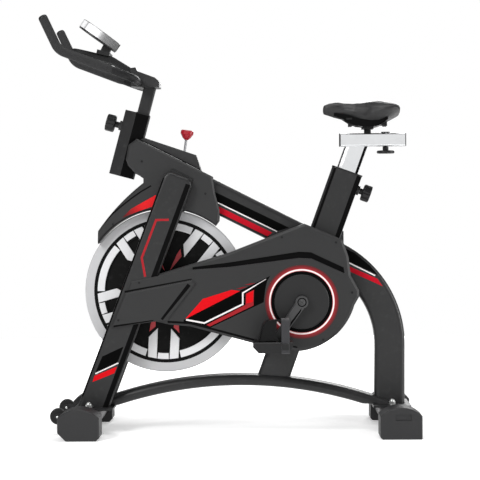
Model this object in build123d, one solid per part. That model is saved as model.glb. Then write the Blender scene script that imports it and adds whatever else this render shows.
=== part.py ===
"""Indoor exercise bike: a welded tube frame on two cross stabilizers, a spoked flywheel driven by a belt
from the cranks, a friction brake, and a sliding saddle and handlebar.

Millimetres, +Z up.  The origin is on the floor under the middle of the bike, the handlebar end is at -X and
the rider's left hand is at -Y, where the belt drive and its cover are.
"""
from build123d import *
import math
import os

os.makedirs("parts", exist_ok=True)

# ---------------------------------------------------------------- driving dimensions
GAP = 0.3                      # clearance between pieces that only sit near each other
RUN = 0.05                     # radial clearance of a shaft in its bore
WALL = 2.5                     # steel tube wall
SHELL = 3.0                    # plastic cover wall

# stabilizers and their end caps
HALF_WIDTH = 250.0             # outer face of an end cap
STAB_WIDTH, STAB_HEIGHT, STAB_ROUND = 90.0, 48.0, 20.0
STAB_Z = 44.0                  # middle height of both stabilizer tubes
FRONT_X, REAR_X = -423.0, 470.0
CAP_WIDTH, CAP_SHOULDER, CAP_CROWN = 116.0, 64.0, 88.0
CAP_LENGTH, CAP_END = 88.0, 8.0
STAB_TOP = STAB_Z + STAB_HEIGHT / 2
PLATE = 6.0
PLATE_TOP = STAB_TOP + PLATE
BOLT_R = 5.0
FRONT_BOLT = (-408.0, 100.0)   # x and +-y of the bolts that hold each stabilizer
REAR_BOLT = (459.0, 62.0)

# transport wheels
WHEEL_R, WHEEL_WIDTH, WHEEL_Y = 23.0, 20.0, 110.0
WHEEL_X, WHEEL_Z = -494.0, 53.0
EAR = 4.0

# frame tubes
BEAM_DEPTH, BEAM_WIDTH, BEAM_ROUND = 88.0, 44.0, 14.0
BEAM_START = (-300.0, 804.5)
BEAM_CORNER = (459.0, 418.0)
BEAM_BEND = 285.0
LEG_FOOT_X = 455.0
SEAT_TILT = 20.1
SEAT_TUBE_DEPTH, SEAT_TUBE_WIDTH = 90.0, 48.0
SEAT_TOP = (336.8, 743.2)
BASE_WIDTH, BASE_HEIGHT = 76.0, 32.0
BASE_APEX = (20.0, 144.4)
BASE_ENDS = (-400.0, 66.0, 446.0, 66.0)

# fork
FORK_TILT = 20.9
BLADE_DEPTH, BLADE_WIDTH, BLADE_INNER = 86.0, 28.0, 52.0
BLADE_TOP = (-144.3, 736.0)
BLADE_CORNER, BLADE_ROUND = 22.0, 10.0
CROWN_X, CROWN_Z = -150.0, 714.0
CROWN_LENGTH, CROWN_DEPTH = 66.0, 58.0
DROPOUT, DROPOUT_SPREAD, DROPOUT_EYE = 8.0, 46.0, 22.0
DROPOUT_DROP = 353.0           # from the blade's top to the axle, along the blade

# flywheel and drive
AXLE_X, AXLE_Z = -189.5, 403.0
FLYWHEEL_R, RIM_HALF = 234.0, 13.0
RIM_INNER, RING_INNER, SPOKE_RING_INNER = 208.0, 199.0, 176.0
WEB_HALF, HUB_R = 5.0, 24.0
AXLE_R, AXLE_HALF = 6.0, 74.0
BEARING_R, BEARING_WIDTH = 14.0, 8.0
BELT_Y, BELT_WIDTH, BELT_THICK = -40.0, 12.0, 3.5
PULLEY_WIDTH = 14.0
SMALL_PULLEY_R, BIG_PULLEY_R = 29.0, 87.0
PULLEY_HUB_R, PULLEY_HOLES, PULLEY_HOLE_R = 22.0, 50.0, 17.0
CRANK_X, CRANK_Z = 201.6, 372.3
CRANK_LENGTH, CRANK_LEAN = 147.0, 34.7
SHELL_R, SHELL_BORE_R, SHELL_HALF = 22.0, 17.0, 28.0
SPINDLE_R, ARM_INNER, ARM_THICK = 10.0, 93.0, 14.0
PEDAL_IN, PEDAL_OUT, PEDAL_SPINDLE_R = 112.0, 204.0, 7.0
PEDAL_LENGTH, PEDAL_HEIGHT = 112.0, 30.0
CLIP_RISE, STRAP_WIDTH = 60.0, 24.0

# covers
COVER_INNER_Y, COVER_FACE_Y, LOBE_FACE_Y = -27.0, -84.0, -90.0
COVER_CHAMFER, LOBE_CHAMFER, DISC_R = 7.0, 4.0, 77.7
COWL_HALF, COWL_CHAMFER = 49.0, 5.0
BOX_HALF = 28.0

# head tube, handlebar post and bar
HEAD_TILT = 15.2
HEAD_TOP = (-267.0, 918.7)
HEAD_LENGTH = 190.0
HEAD_FRONT, HEAD_WIDE, HEAD_REAR = -36.0, -3.0, 36.0
POST_OFFSET, POST_SIZE, POST_IN_HEAD = 15.5, 34.0, 140.0
STEM_BASE_Z = 990.0
BAR_R, GRIP_R, BAR_HALF = 11.0, 13.0, 205.0
HORN_TIP = (-515.4, 1177.0)
HORN_CORNER = (-471.6, 1083.5)
BAR_REAR = (-262.0, 1003.4)
BAR_BEND, GRIP_END, PLUG = 45.0, -322.0, 3.5
LOOP_R, LOOP_HALF, LOOP_BEND = 10.0, 38.0, 30.0
LOOP_REAR, LOOP_MIDDLE, LOOP_FRONT = (-284.0, 1035.0), (-338.0, 1069.0), (-450.0, 1096.0)

# seat post, slide and saddle
SEAT_POST_DEPTH, SEAT_POST_WIDTH, POST_IN_SEAT = 62.0, 32.0, 142.0
SLIDE_X, SLIDE_Z = 411.3, 835.3
SLIDE_LENGTH, SLIDE_HEIGHT, SLIDE_WIDTH = 186.0, 37.0, 50.0
SADDLE_STUB_X, SADDLE_KNOB_X, STUB_R, STUB_TOP = 397.0, 449.2, 10.0, 866.0
SADDLE_TRAVEL = 30.0
RAIL_Z, RAIL_Y, RAIL_R = 880.0, 20.0, 3.5

# brake
BRAKE_TILT = 8.0
BRAKE_GAP = 5.0
ROD_R, ROD_TOP = 3.5, 446.0
GUIDE_R, GUIDE_MIDDLE, GUIDE_LENGTH = 10.0, 318.0, 108.0
SPRING_LOW, SPRING_HIGH, SPRING_R, WIRE_R = 372.5, 396.0, 8.0, 1.1
BRAKE_KNOB_LOW = 441.0

# lock pins
PIN_R, BOSS_R = 5.0, 14.0
HEAD_PIN_DROP, SEAT_PIN_DROP = 48.0, 39.5
KNOB_R = 25.0

# console
CONSOLE_X, CONSOLE_Z, CONSOLE_TILT = -375.6, 1142.4, 35.8
CONSOLE_R, CONSOLE_THICK, CONSOLE_BACK, RIM_WALL = 64.0, 28.0, 4.0, 4.0
BUTTON_X, BUTTON_R = 38.0, 8.0
BRIDGE_X, NECK_X = -366.0, 34.0

parts = {}


# ---------------------------------------------------------------- helpers
def leaning(x, z, tilt):
    """A plane at (x, 0, z) whose z axis leans back by tilt degrees; its x axis points to the rear."""
    s, c = math.sin(math.radians(tilt)), math.cos(math.radians(tilt))
    return Plane(origin=(x, 0, z), x_dir=(c, 0, -s), z_dir=(s, 0, c))


def side_face(points):
    """A face in the XZ plane from (x, z) points."""
    return make_face(Polyline(*[(x, 0, z) for x, z in points], close=True))


def slab(face, y_from, y_to):
    """A side face given a thickness from y_from to y_to."""
    low, high = min(y_from, y_to), max(y_from, y_to)
    return Pos(0, low, 0) * extrude(face, amount=high - low, dir=(0, 1, 0))


def rod_y(x, z, radius, y_from, y_to):
    """A round bar along Y."""
    low, high = min(y_from, y_to), max(y_from, y_to)
    return Pos(x, (low + high) / 2, z) * Rot(90, 0, 0) * Cylinder(radius, high - low)


def ring_y(x, z, outer, inner, y_from, y_to):
    """A round ring along Y."""
    return rod_y(x, z, outer, y_from, y_to) - rod_y(x, z, inner, y_from - 1, y_to + 1)


def block(x0, x1, y0, y1, z0, z1):
    """A box between two corners."""
    return Pos((x0 + x1) / 2, (y0 + y1) / 2, (z0 + z1) / 2) * Box(x1 - x0, y1 - y0, z1 - z0)


def two_circle_face(x0, z0, r0, x1, z1, r1):
    """The XZ face inside a taut line round two circles: (x0, z0) with r0 and (x1, z1) with a larger r1."""
    dx, dz = x1 - x0, z1 - z0
    along, length = math.atan2(dz, dx), math.hypot(dx, dz)
    lean = math.asin((r1 - r0) / length)
    up, down = along + math.pi / 2 + lean, along - math.pi / 2 - lean

    def first(a):
        return (x0 + r0 * math.cos(a), 0, z0 + r0 * math.sin(a))

    def second(a):
        return (x1 + r1 * math.cos(a), 0, z1 + r1 * math.sin(a))

    return Face(Wire([
        Edge.make_three_point_arc(second(up), second(along), second(down)),
        Edge.make_line(second(down), first(down)),
        Edge.make_three_point_arc(first(down), first(along + math.pi), first(up)),
        Edge.make_line(first(up), second(up)),
    ]))


def rounded_tube(path, depth, width, radius, wall):
    """(hollow tube, the same tube filled) with a rounded section, swept along a path in the XZ plane."""
    start = Plane(origin=path @ 0, z_dir=path % 0, x_dir=(0, 1, 0))
    outer = sweep(start * RectangleRounded(width, depth, radius), path=path)
    inner_section = RectangleRounded(width - 2 * wall, depth - 2 * wall, max(radius - wall, 1.0))
    inner = sweep(start * inner_section, path=path)
    return outer - inner, outer


def mirrored(shape):
    """The same piece on the other side of the bike."""
    return shape.mirror(Plane.XZ)


def both(shape):
    """A piece and its mirror image, as one group."""
    return Compound(children=[*shape.solids(), *mirrored(shape).solids()])


def group(*shapes):
    """Several separate solids as one group."""
    return Compound(children=[s for shape in shapes for s in shape.solids()])


def below(z):
    """Everything lower than z near the bike."""
    return block(-700, 700, -400, 400, z - 400, z)


def above(z):
    """Everything higher than z near the bike."""
    return block(-700, 700, -400, 400, z, z + 500)


# ---------------------------------------------------------------- stabilizers, end caps, base plates
def stabilizer(x):
    """A rounded cross tube."""
    half = HALF_WIDTH - CAP_END - GAP
    path = Line((x, -half, STAB_Z), (x, half, STAB_Z))
    section = Plane(origin=path @ 0, z_dir=(0, 1, 0), x_dir=(1, 0, 0))
    outer = section * RectangleRounded(STAB_WIDTH, STAB_HEIGHT, STAB_ROUND)
    inner = section * RectangleRounded(STAB_WIDTH - 2 * WALL, STAB_HEIGHT - 2 * WALL, STAB_ROUND - WALL)
    return extrude(outer - inner, amount=2 * half, dir=(0, 1, 0))


def end_cap(x, toe, heel):
    """A plastic foot that slips over the tube end; toe and heel are its bottom chamfers at -X and +X."""
    lo, hi = x - CAP_WIDTH / 2, x + CAP_WIDTH / 2
    wire = Wire([
        Edge.make_line((lo, 0, toe), (lo, 0, CAP_SHOULDER)),
        Edge.make_three_point_arc((lo, 0, CAP_SHOULDER), (x, 0, CAP_CROWN), (hi, 0, CAP_SHOULDER)),
        Edge.make_line((hi, 0, CAP_SHOULDER), (hi, 0, heel)),
        Edge.make_line((hi, 0, heel), (hi - heel, 0, 0)),
        Edge.make_line((hi - heel, 0, 0), (lo + toe, 0, 0)),
        Edge.make_line((lo + toe, 0, 0), (lo, 0, toe)),
    ])
    body = slab(Face(wire), -HALF_WIDTH, -HALF_WIDTH + CAP_LENGTH)
    body = chamfer(body.faces().sort_by(Axis.Y)[0].edges().filter_by(lambda e: e.center().Z > 5), 3.0)
    section = Plane(origin=(x, -HALF_WIDTH + CAP_END, STAB_Z), z_dir=(0, 1, 0), x_dir=(1, 0, 0))
    socket = section * RectangleRounded(STAB_WIDTH + 2 * GAP, STAB_HEIGHT + 2 * GAP, STAB_ROUND)
    return body - extrude(socket, amount=CAP_LENGTH, dir=(0, 1, 0))


def slotted_cap(x, toe, heel):
    """The rear foot, with the shallow rectangular recess in its end face."""
    recess = block(x - 16, x + 28, -HALF_WIDTH - 1, -HALF_WIDTH + 3, STAB_Z + 8, STAB_Z + 25)
    return end_cap(x, toe, heel) - recess


def bolt(x, y):
    """A carriage bolt up through a stabilizer, with its washer and dome nut."""
    bottom = STAB_Z - STAB_HEIGHT / 2
    shank = Pos(x, y, (bottom + PLATE_TOP + 10) / 2) * Cylinder(BOLT_R, PLATE_TOP + 10 - bottom)
    head = Pos(x, y, bottom - 2) * Cylinder(2 * BOLT_R, 4)
    washer = Pos(x, y, PLATE_TOP + 1) * (Cylinder(2 * BOLT_R, 2) - Cylinder(BOLT_R + 2 * RUN, 3))
    dome = Pos(x, y, PLATE_TOP + 10) * Sphere(8.0)
    hexagon = Pos(x, y, PLATE_TOP + 2) * extrude(RegularPolygon(9.2, 6), 8)
    nut = (hexagon + (dome - below(PLATE_TOP + 9.9))) - Pos(x, y, PLATE_TOP) * Cylinder(
        BOLT_R + 2 * RUN, 21 + 4 * RUN)
    return [shank + head, washer, nut]


front_tube, rear_tube = stabilizer(FRONT_X), stabilizer(REAR_X)
bolt_places = [(FRONT_BOLT[0], s * FRONT_BOLT[1]) for s in (-1, 1)]
bolt_places += [(REAR_BOLT[0], s * REAR_BOLT[1]) for s in (-1, 1)]
bolt_holes = [Pos(x, y, STAB_Z) * Cylinder(BOLT_R + GAP, 120) for x, y in bolt_places]
for hole in bolt_holes:
    front_tube -= hole
    rear_tube -= hole
parts["stabilizers"] = group(front_tube, rear_tube)
parts["front_feet"] = both(end_cap(FRONT_X, 23.0, 9.0))
parts["rear_feet"] = both(slotted_cap(REAR_X, 6.0, 1.5))
parts["frame_bolts"] = group(*[piece for x, y in bolt_places for piece in bolt(x, y)])

front_plate = block(-440, -338, -118, 118, STAB_TOP, PLATE_TOP)
rear_plate = block(404, 512, -84, 84, STAB_TOP, PLATE_TOP)
for hole in bolt_holes:
    front_plate -= hole
    rear_plate -= hole

# ---------------------------------------------------------------- transport wheels
ear_reach = FRONT_X - STAB_WIDTH / 2
ears = []
for side in (-1, 1):
    for edge in (-1, 1):
        y = side * WHEEL_Y + edge * (WHEEL_WIDTH / 2 + 1 + EAR / 2)
        outline = side_face([(ear_reach + 12, 52), (ear_reach + 12, 66), (WHEEL_X, WHEEL_Z + 9),
                             (WHEEL_X, WHEEL_Z - 9), (ear_reach + 4, 34)])
        ear = slab(outline, y - EAR / 2, y + EAR / 2) + rod_y(WHEEL_X, WHEEL_Z, 9, y - EAR / 2, y + EAR / 2)
        ears.append(ear - rod_y(WHEEL_X, WHEEL_Z, 4.0, y - 9, y + 9))
stab_section = Plane(origin=(FRONT_X, -300, STAB_Z), z_dir=(0, 1, 0), x_dir=(1, 0, 0)) * RectangleRounded(
    STAB_WIDTH, STAB_HEIGHT, STAB_ROUND)
front_tube_filled = extrude(stab_section, amount=600, dir=(0, 1, 0))
ears = [ear - front_tube_filled for ear in ears]
wheel_pins = []
for side, name in ((-1, "left"), (1, "right")):
    y = side * WHEEL_Y
    tyre = rod_y(WHEEL_X, WHEEL_Z, WHEEL_R, y - WHEEL_WIDTH / 2, y + WHEEL_WIDTH / 2)
    tyre = fillet(tyre.edges(), 4.0)
    parts[f"transport_wheel_{name}"] = tyre - rod_y(WHEEL_X, WHEEL_Z, 4.0 + RUN, y - 20, y + 20)
    reach = WHEEL_WIDTH / 2 + 1 + EAR
    wheel_pins.append(rod_y(WHEEL_X, WHEEL_Z, 4.0, y - reach - 3, y + reach)
                      + rod_y(WHEEL_X, WHEEL_Z, 7.0, y + reach, y + reach + 4)
                      + rod_y(WHEEL_X, WHEEL_Z, 7.0, y - reach - 4, y - reach))
parts["wheel_axles"] = group(*wheel_pins)

# ---------------------------------------------------------------- head tube and its sleeve
head = leaning(*HEAD_TOP, HEAD_TILT)


def head_prism(section_points, z_from, z_to):
    """A section drawn in the head tube's own (rearward, sideways) directions, along the tube."""
    face = head * (Pos(0, 0, z_from) * make_face(Polyline(*section_points, close=True)))
    return extrude(face, amount=z_to - z_from, dir=head.z_dir)


def head_box(x0, x1, half, z_from, z_to):
    """A box in the head tube's directions."""
    return head_prism([(x0, -half), (x1, -half), (x1, half), (x0, half)], z_from, z_to)


head_section = [(HEAD_FRONT, -13), (HEAD_WIDE, -34), (HEAD_REAR, -23), (HEAD_REAR, 23), (HEAD_WIDE, 34),
                (HEAD_FRONT, 13)]
head_filled = head_prism(head_section, -HEAD_LENGTH, 0)
bore_half = POST_SIZE / 2 + 1.6
bore = head_box(POST_OFFSET - bore_half, POST_OFFSET + bore_half, bore_half, -HEAD_LENGTH - 1, 1)
front_hollow = head_prism([(HEAD_FRONT + 3, -10), (HEAD_WIDE - 8, -26), (HEAD_WIDE - 8, 26),
                           (HEAD_FRONT + 3, 10)], -HEAD_LENGTH - 1, -4)
pin_axis = head * Pos(0, 0, -HEAD_PIN_DROP)
head_pin_hole = pin_axis * Rot(0, -90, 0) * Pos(0, 0, 20) * Cylinder(PIN_R + GAP, 70)
parts["head_tube"] = head_filled - bore - front_hollow - head_pin_hole
sleeve_out, sleeve_in = bore_half - 0.2, POST_SIZE / 2 + 0.2
head_sleeve = head_box(POST_OFFSET - sleeve_out, POST_OFFSET + sleeve_out, sleeve_out, -120, 0)
head_sleeve += head_box(POST_OFFSET - bore_half - 1, POST_OFFSET + bore_half, bore_half + 1, 0, 2)
head_sleeve -= head_box(POST_OFFSET - sleeve_in, POST_OFFSET + sleeve_in, sleeve_in, -130, 10)
head_sleeve -= head_pin_hole

# ---------------------------------------------------------------- main beam, seat tube, base beam
beam_path = FilletPolyline((BEAM_START[0], 0, BEAM_START[1]), (BEAM_CORNER[0], 0, BEAM_CORNER[1]),
                           (LEG_FOOT_X, 0, PLATE_TOP - 20), radius=BEAM_BEND)
beam, beam_filled = rounded_tube(beam_path, BEAM_DEPTH, BEAM_WIDTH, BEAM_ROUND, WALL)
brake_axis = leaning(AXLE_X, AXLE_Z, BRAKE_TILT)
guide_hole = brake_axis * Pos(0, 0, GUIDE_MIDDLE) * Cylinder(GUIDE_R, 300)
parts["main_beam"] = beam - head_filled - below(PLATE_TOP) - guide_hole

seat = leaning(*SEAT_TOP, SEAT_TILT)
seat_path = Line(seat.from_local_coords((0, 0, -680)), seat.origin)
seat_tube, seat_filled = rounded_tube(seat_path, SEAT_TUBE_DEPTH, SEAT_TUBE_WIDTH, 14.0, WALL)
base_curve = ThreePointArc((BASE_ENDS[0], 0, BASE_ENDS[1]), (BASE_APEX[0], 0, BASE_APEX[1]),
                           (BASE_ENDS[2], 0, BASE_ENDS[3]))
base, base_filled = rounded_tube(base_curve, BASE_HEIGHT, BASE_WIDTH, BASE_HEIGHT / 2 - 0.5, WALL)
parts["base_beam"] = base - below(PLATE_TOP) - beam_filled

shell_hole = rod_y(CRANK_X, CRANK_Z, SHELL_R, -60, 60)
seat_pin_hole = seat * Pos(50, 0, -SEAT_PIN_DROP) * Rot(0, 90, 0) * Cylinder(PIN_R + GAP, 60)
seat_tube = seat_tube - beam_filled - base_filled - shell_hole - seat_pin_hole
parts["seat_tube"] = max(seat_tube.solids(), key=lambda s: s.volume)

seat_in = (SEAT_TUBE_DEPTH / 2 - WALL - 0.2, SEAT_TUBE_WIDTH / 2 - WALL - 0.2)
seat_sleeve = Pos(0, 0, -60) * Box(2 * seat_in[0], 2 * seat_in[1], 120)
seat_sleeve = fillet(seat_sleeve.edges().filter_by(Axis.Z), 11.0)
seat_collar = Pos(0, 0, 2) * Box(SEAT_TUBE_DEPTH + 2, SEAT_TUBE_WIDTH + 2, 4)
seat_collar = fillet(seat_collar.edges().filter_by(Axis.Z), 14.0)
seat_sleeve = seat_sleeve + seat_collar - Box(SEAT_POST_DEPTH + 0.4, SEAT_POST_WIDTH + 0.4, 400)
seat_sleeve = seat * seat_sleeve - seat_pin_hole
parts["post_sleeves"] = group(head_sleeve, seat_sleeve)

# ---------------------------------------------------------------- fork blades, crown blocks, dropouts
fork = leaning(*BLADE_TOP, FORK_TILT)
blade_length = (BLADE_TOP[1] - PLATE_TOP) / math.cos(math.radians(FORK_TILT)) + 60


def blade_body(inset):
    """One fork blade's outer body, or with an inset the hollow inside it."""
    half, top = BLADE_DEPTH / 2 - inset, -inset
    plate = Pos(0, 0, top - blade_length / 2) * Box(2 * half, BLADE_WIDTH - 2 * inset, blade_length)
    upper = plate.edges().filter_by(Axis.Y).sort_by(Axis.Z)[-2:]
    plate = fillet(upper, BLADE_CORNER - inset)
    long_edges = plate.faces().filter_by(Axis.Y)
    rounded = [e for f in long_edges for e in f.edges() if e.center().Z > -blade_length - inset + 1]
    plate = fillet(rounded, max(BLADE_ROUND - inset, 2.0))
    return fork * (Pos(0, -BLADE_INNER - BLADE_WIDTH / 2, 0) * plate)


blade_filled = blade_body(0) - below(PLATE_TOP)
blade_left = blade_filled - blade_body(WALL)
axle_hole = rod_y(AXLE_X, AXLE_Z, AXLE_R + RUN, -100, 100)
roots = [
    fork.from_local_coords((BLADE_DEPTH / 2 - 4, 0, end * DROPOUT_SPREAD - DROPOUT_DROP))
    for end in (-1, 1)]
dropout = side_face([*[(root.X, root.Z) for root in roots], (AXLE_X, AXLE_Z)])
for root in roots:
    dropout += two_circle_face(root.X, root.Z, 8, AXLE_X, AXLE_Z, DROPOUT_EYE)
dropout_left = slab(dropout, -BLADE_INNER - DROPOUT, -BLADE_INNER) - blade_filled - axle_hole
parts["fork_blade_left"] = blade_left
parts["fork_blade_right"] = mirrored(blade_left)
beam_slope = math.degrees(math.atan2(BEAM_START[1] - BEAM_CORNER[1], BEAM_CORNER[0] - BEAM_START[0]))
crown_place = Pos(CROWN_X, 0, CROWN_Z) * Rot(0, beam_slope, 0)
crown = crown_place * Box(CROWN_LENGTH, 2 * BLADE_INNER, CROWN_DEPTH) - beam_filled

# ---------------------------------------------------------------- bottom bracket, crank, pulleys, belt
bracket_shell = ring_y(CRANK_X, CRANK_Z, SHELL_R, SHELL_BORE_R, -SHELL_HALF, SHELL_HALF)
bearing = ring_y(CRANK_X, CRANK_Z, SHELL_BORE_R, SPINDLE_R + RUN, SHELL_HALF - 10, SHELL_HALF)
parts["bottom_bracket"] = group(bracket_shell, both(bearing))
spindle_half = ARM_INNER + ARM_THICK - 2
parts["crank_axle"] = rod_y(CRANK_X, CRANK_Z, SPINDLE_R, -spindle_half, spindle_half)

pulley_in, pulley_out = BELT_Y + PULLEY_WIDTH / 2, BELT_Y - PULLEY_WIDTH / 2
big_pulley = ring_y(CRANK_X, CRANK_Z, BIG_PULLEY_R, SPINDLE_R, pulley_out, pulley_in)
rim_inner_r = BIG_PULLEY_R - 9
big_pulley -= ring_y(CRANK_X, CRANK_Z, rim_inner_r, PULLEY_HUB_R, pulley_out - 1, BELT_Y - 2)
big_pulley -= ring_y(CRANK_X, CRANK_Z, rim_inner_r, PULLEY_HUB_R, BELT_Y + 2, pulley_in + 1)
for turn in range(5):
    angle = math.radians(72 * turn)
    hole_x = CRANK_X + PULLEY_HOLES * math.cos(angle)
    hole_z = CRANK_Z + PULLEY_HOLES * math.sin(angle)
    big_pulley -= rod_y(hole_x, hole_z, PULLEY_HOLE_R, -60, -20)
parts["crank_pulley"] = big_pulley


def belt_loop(extra):
    """The face inside a belt line that runs at a distance extra outside both pulleys."""
    return two_circle_face(AXLE_X, AXLE_Z, SMALL_PULLEY_R + extra, CRANK_X, CRANK_Z, BIG_PULLEY_R + extra)


belt_in, belt_out = BELT_Y - BELT_WIDTH / 2, BELT_Y + BELT_WIDTH / 2
belt_filled = slab(belt_loop(0.2 + BELT_THICK), belt_in, belt_out)
parts["drive_belt"] = belt_filled - slab(belt_loop(0.2), belt_in - 1, belt_out + 1)

crank_dx = -CRANK_LENGTH * math.sin(math.radians(CRANK_LEAN))
crank_dz = -CRANK_LENGTH * math.cos(math.radians(CRANK_LEAN))


def crank_arm(sign):
    """One crank arm with its pedal spindle and dust cap; sign is -1 on the left side and 1 on the right."""
    tip_x, tip_z = CRANK_X - sign * crank_dx, CRANK_Z - sign * crank_dz
    y0, y1 = sign * ARM_INNER, sign * (ARM_INNER + ARM_THICK)
    outline = two_circle_face(tip_x, tip_z, 12, CRANK_X, CRANK_Z, 15)
    arm = slab(outline, y0, y1)
    arm = chamfer(arm.faces().filter_by(Axis.Y).sort_by(Axis.Y)[0 if sign < 0 else -1].edges(), 3.0)
    arm += rod_y(CRANK_X, CRANK_Z, 18.0, y0, y1)
    arm -= rod_y(CRANK_X, CRANK_Z, SPINDLE_R, y0 - 20 * sign, y1 + 20 * sign)
    arm -= rod_y(tip_x, tip_z, PEDAL_SPINDLE_R, y0 - 20 * sign, y1 + 20 * sign)
    cap = rod_y(CRANK_X, CRANK_Z, SPINDLE_R, y1 - 2 * sign, y1 + 1.5 * sign)
    spindle = rod_y(tip_x, tip_z, PEDAL_SPINDLE_R, y0, sign * (PEDAL_OUT - 3))
    return group(arm, cap, spindle), (tip_x, tip_z)


left_arm, left_tip = crank_arm(-1)
right_arm, right_tip = crank_arm(1)
parts["crank_arm_left"], parts["crank_arm_right"] = left_arm, right_arm


def pedal(tip, sign):
    """A resin pedal: a barrel on the spindle inside a frame with two windows."""
    x, z = tip
    y0, y1 = sign * PEDAL_IN, sign * PEDAL_OUT
    low, high = min(y0, y1), max(y0, y1)
    half, tall = PEDAL_LENGTH / 2, PEDAL_HEIGHT / 2
    outline = [(x - half, z + tall), (x + half, z + tall), (x + half, z + 2), (x + half - 16, z - tall),
               (x - half + 16, z - tall), (x - half, z + 2)]
    body = slab(side_face(outline), low, high)
    for s in (-1, 1):
        window = block(x + s * 27 - 13, x + s * 27 + 13, low + 12, high - 12, z - 30, z + 30)
        body -= fillet(window.edges().filter_by(Axis.Z), 5.0)
    body = chamfer(body.faces().sort_by(Axis.Z)[-1].outer_wire().edges(), 2.0)
    return body - rod_y(x, z, PEDAL_SPINDLE_R + RUN, y0 - 5 * sign, y1 - 2.5 * sign)


def toe_clip(tip, sign):
    """The toe cage over the front of a pedal, and the strap that loops round cage and pedal."""
    x, z = tip
    top = z + PEDAL_HEIGHT / 2 + GAP
    y_mid = sign * (PEDAL_IN + PEDAL_OUT) / 2
    outer = Wire([
        *Polyline((x - 37, 0, top), (x - 54, 0, top), (x - 54, 0, top + 3), (x - 40, 0, top + 3)).edges(),
        Edge.make_three_point_arc((x - 40, 0, top + 3), (x - 30, 0, top + 44), (x + 6, 0, top + CLIP_RISE)),
        *Polyline((x + 6, 0, top + CLIP_RISE), (x + 42, 0, top + CLIP_RISE), (x + 42, 0, top + CLIP_RISE - 3),
                  (x + 6, 0, top + CLIP_RISE - 3)).edges(),
        Edge.make_three_point_arc((x + 6, 0, top + CLIP_RISE - 3), (x - 27, 0, top + 42), (x - 37, 0, top)),
    ])
    cage = slab(Face(outer), y_mid - 30, y_mid + 30)
    low, high = z - PEDAL_HEIGHT / 2 - GAP, top + CLIP_RISE + GAP
    inner_half = (PEDAL_OUT - PEDAL_IN) / 2 + GAP

    def loop(extra):
        section = Plane(origin=(x + 18, y_mid, (low + high) / 2), x_dir=(0, 1, 0), z_dir=(1, 0, 0))
        return section * RectangleRounded(2 * inner_half + 2 * extra, high - low + 2 * extra, extra + 0.1)

    strap = extrude(loop(2.0) - loop(0), amount=STRAP_WIDTH, dir=(1, 0, 0))
    return group(cage, strap)


parts["pedal_left"], parts["toe_clip_left"] = pedal(left_tip, -1), toe_clip(left_tip, -1)
parts["pedal_right"], parts["toe_clip_right"] = pedal(right_tip, 1), toe_clip(right_tip, 1)

# ---------------------------------------------------------------- flywheel
wheel = ring_y(AXLE_X, AXLE_Z, FLYWHEEL_R, BEARING_R, -RIM_HALF, RIM_HALF)
for side in (-1, 1):
    face = side * RIM_HALF
    wheel -= ring_y(AXLE_X, AXLE_Z, RIM_INNER, RING_INNER, face - 4, face + 4)
    wheel -= ring_y(AXLE_X, AXLE_Z, RING_INNER, SPOKE_RING_INNER, face - 2.5, face + 2.5)
    wheel -= ring_y(AXLE_X, AXLE_Z, SPOKE_RING_INNER, HUB_R, side * WEB_HALF, side * (RIM_HALF + 1))
hub_left, hub_right = -48.0, 30.0
wheel += ring_y(AXLE_X, AXLE_Z, HUB_R, BEARING_R, -RIM_HALF - 17, hub_right)
wheel += ring_y(AXLE_X, AXLE_Z, 18.0, BEARING_R, hub_left, -20)
rim_edges = [e for e in wheel.edges().filter_by(GeomType.CIRCLE) if abs(e.radius - FLYWHEEL_R) < 0.01]
parts["flywheel"] = chamfer(rim_edges, 2.0)
parts["flywheel_pulley"] = ring_y(AXLE_X, AXLE_Z, SMALL_PULLEY_R, 18.0, pulley_out, pulley_in)
wheel_bearings = group(
    ring_y(AXLE_X, AXLE_Z, BEARING_R, AXLE_R + RUN, hub_left, hub_left + BEARING_WIDTH),
    ring_y(AXLE_X, AXLE_Z, BEARING_R, AXLE_R + RUN, hub_right - BEARING_WIDTH, hub_right))
axle_pieces = [rod_y(AXLE_X, AXLE_Z, AXLE_R, -AXLE_HALF, AXLE_HALF),
               ring_y(AXLE_X, AXLE_Z, 9.0, AXLE_R + RUN, -BLADE_INNER, hub_left - GAP),
               ring_y(AXLE_X, AXLE_Z, 9.0, AXLE_R + RUN, hub_right + GAP, BLADE_INNER)]
for side in (-1, 1):
    nut = Pos(AXLE_X, side * (BLADE_INNER + DROPOUT + 5), AXLE_Z) * Rot(90, 0, 0) * (
        extrude(RegularPolygon(11, 6), 5, both=True) - Cylinder(AXLE_R + RUN, 12))
    axle_pieces.append(nut)
parts["flywheel_axle"] = group(*axle_pieces, wheel_bearings)

# ---------------------------------------------------------------- chain cover
arc_end = (196.0, 231.0)
cover_wire = Wire([
    *Polyline((-344.5, 0, 302), (-288, 0, 437), (-214, 0, 452), (-12, 0, 511), (182, 0, 585),
              (211, 0, 595), (319, 0, 549), (336, 0, 500), (342, 0, 447), (366, 0, 403), (366, 0, 386),
              (352, 0, 362)).edges(),
    Edge.make_three_point_arc((352, 0, 362), (303, 0, 281), (arc_end[0], 0, arc_end[1])),
    *Polyline((arc_end[0], 0, arc_end[1]), (63, 0, 254.5), (-118.5, 0, 304), (-175, 0, 309), (-218, 0, 319),
              (-344.5, 0, 302)).edges(),
])
cover_face = Face(cover_wire)
inner_face = offset(cover_face, -SHELL, kind=Kind.INTERSECTION)
cover_solid = slab(cover_face, COVER_FACE_Y, COVER_INNER_Y - SHELL)
cover_solid = chamfer(cover_solid.faces().sort_by(Axis.Y)[0].edges(), COVER_CHAMFER)
lobe_points = [(-344.5, 302), (-303, 401), (-111, 436), (-98, 427), (-181, 322), (-218, 319)]
lobe = slab(side_face(lobe_points), LOBE_FACE_Y, COVER_FACE_Y + 12)
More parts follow.
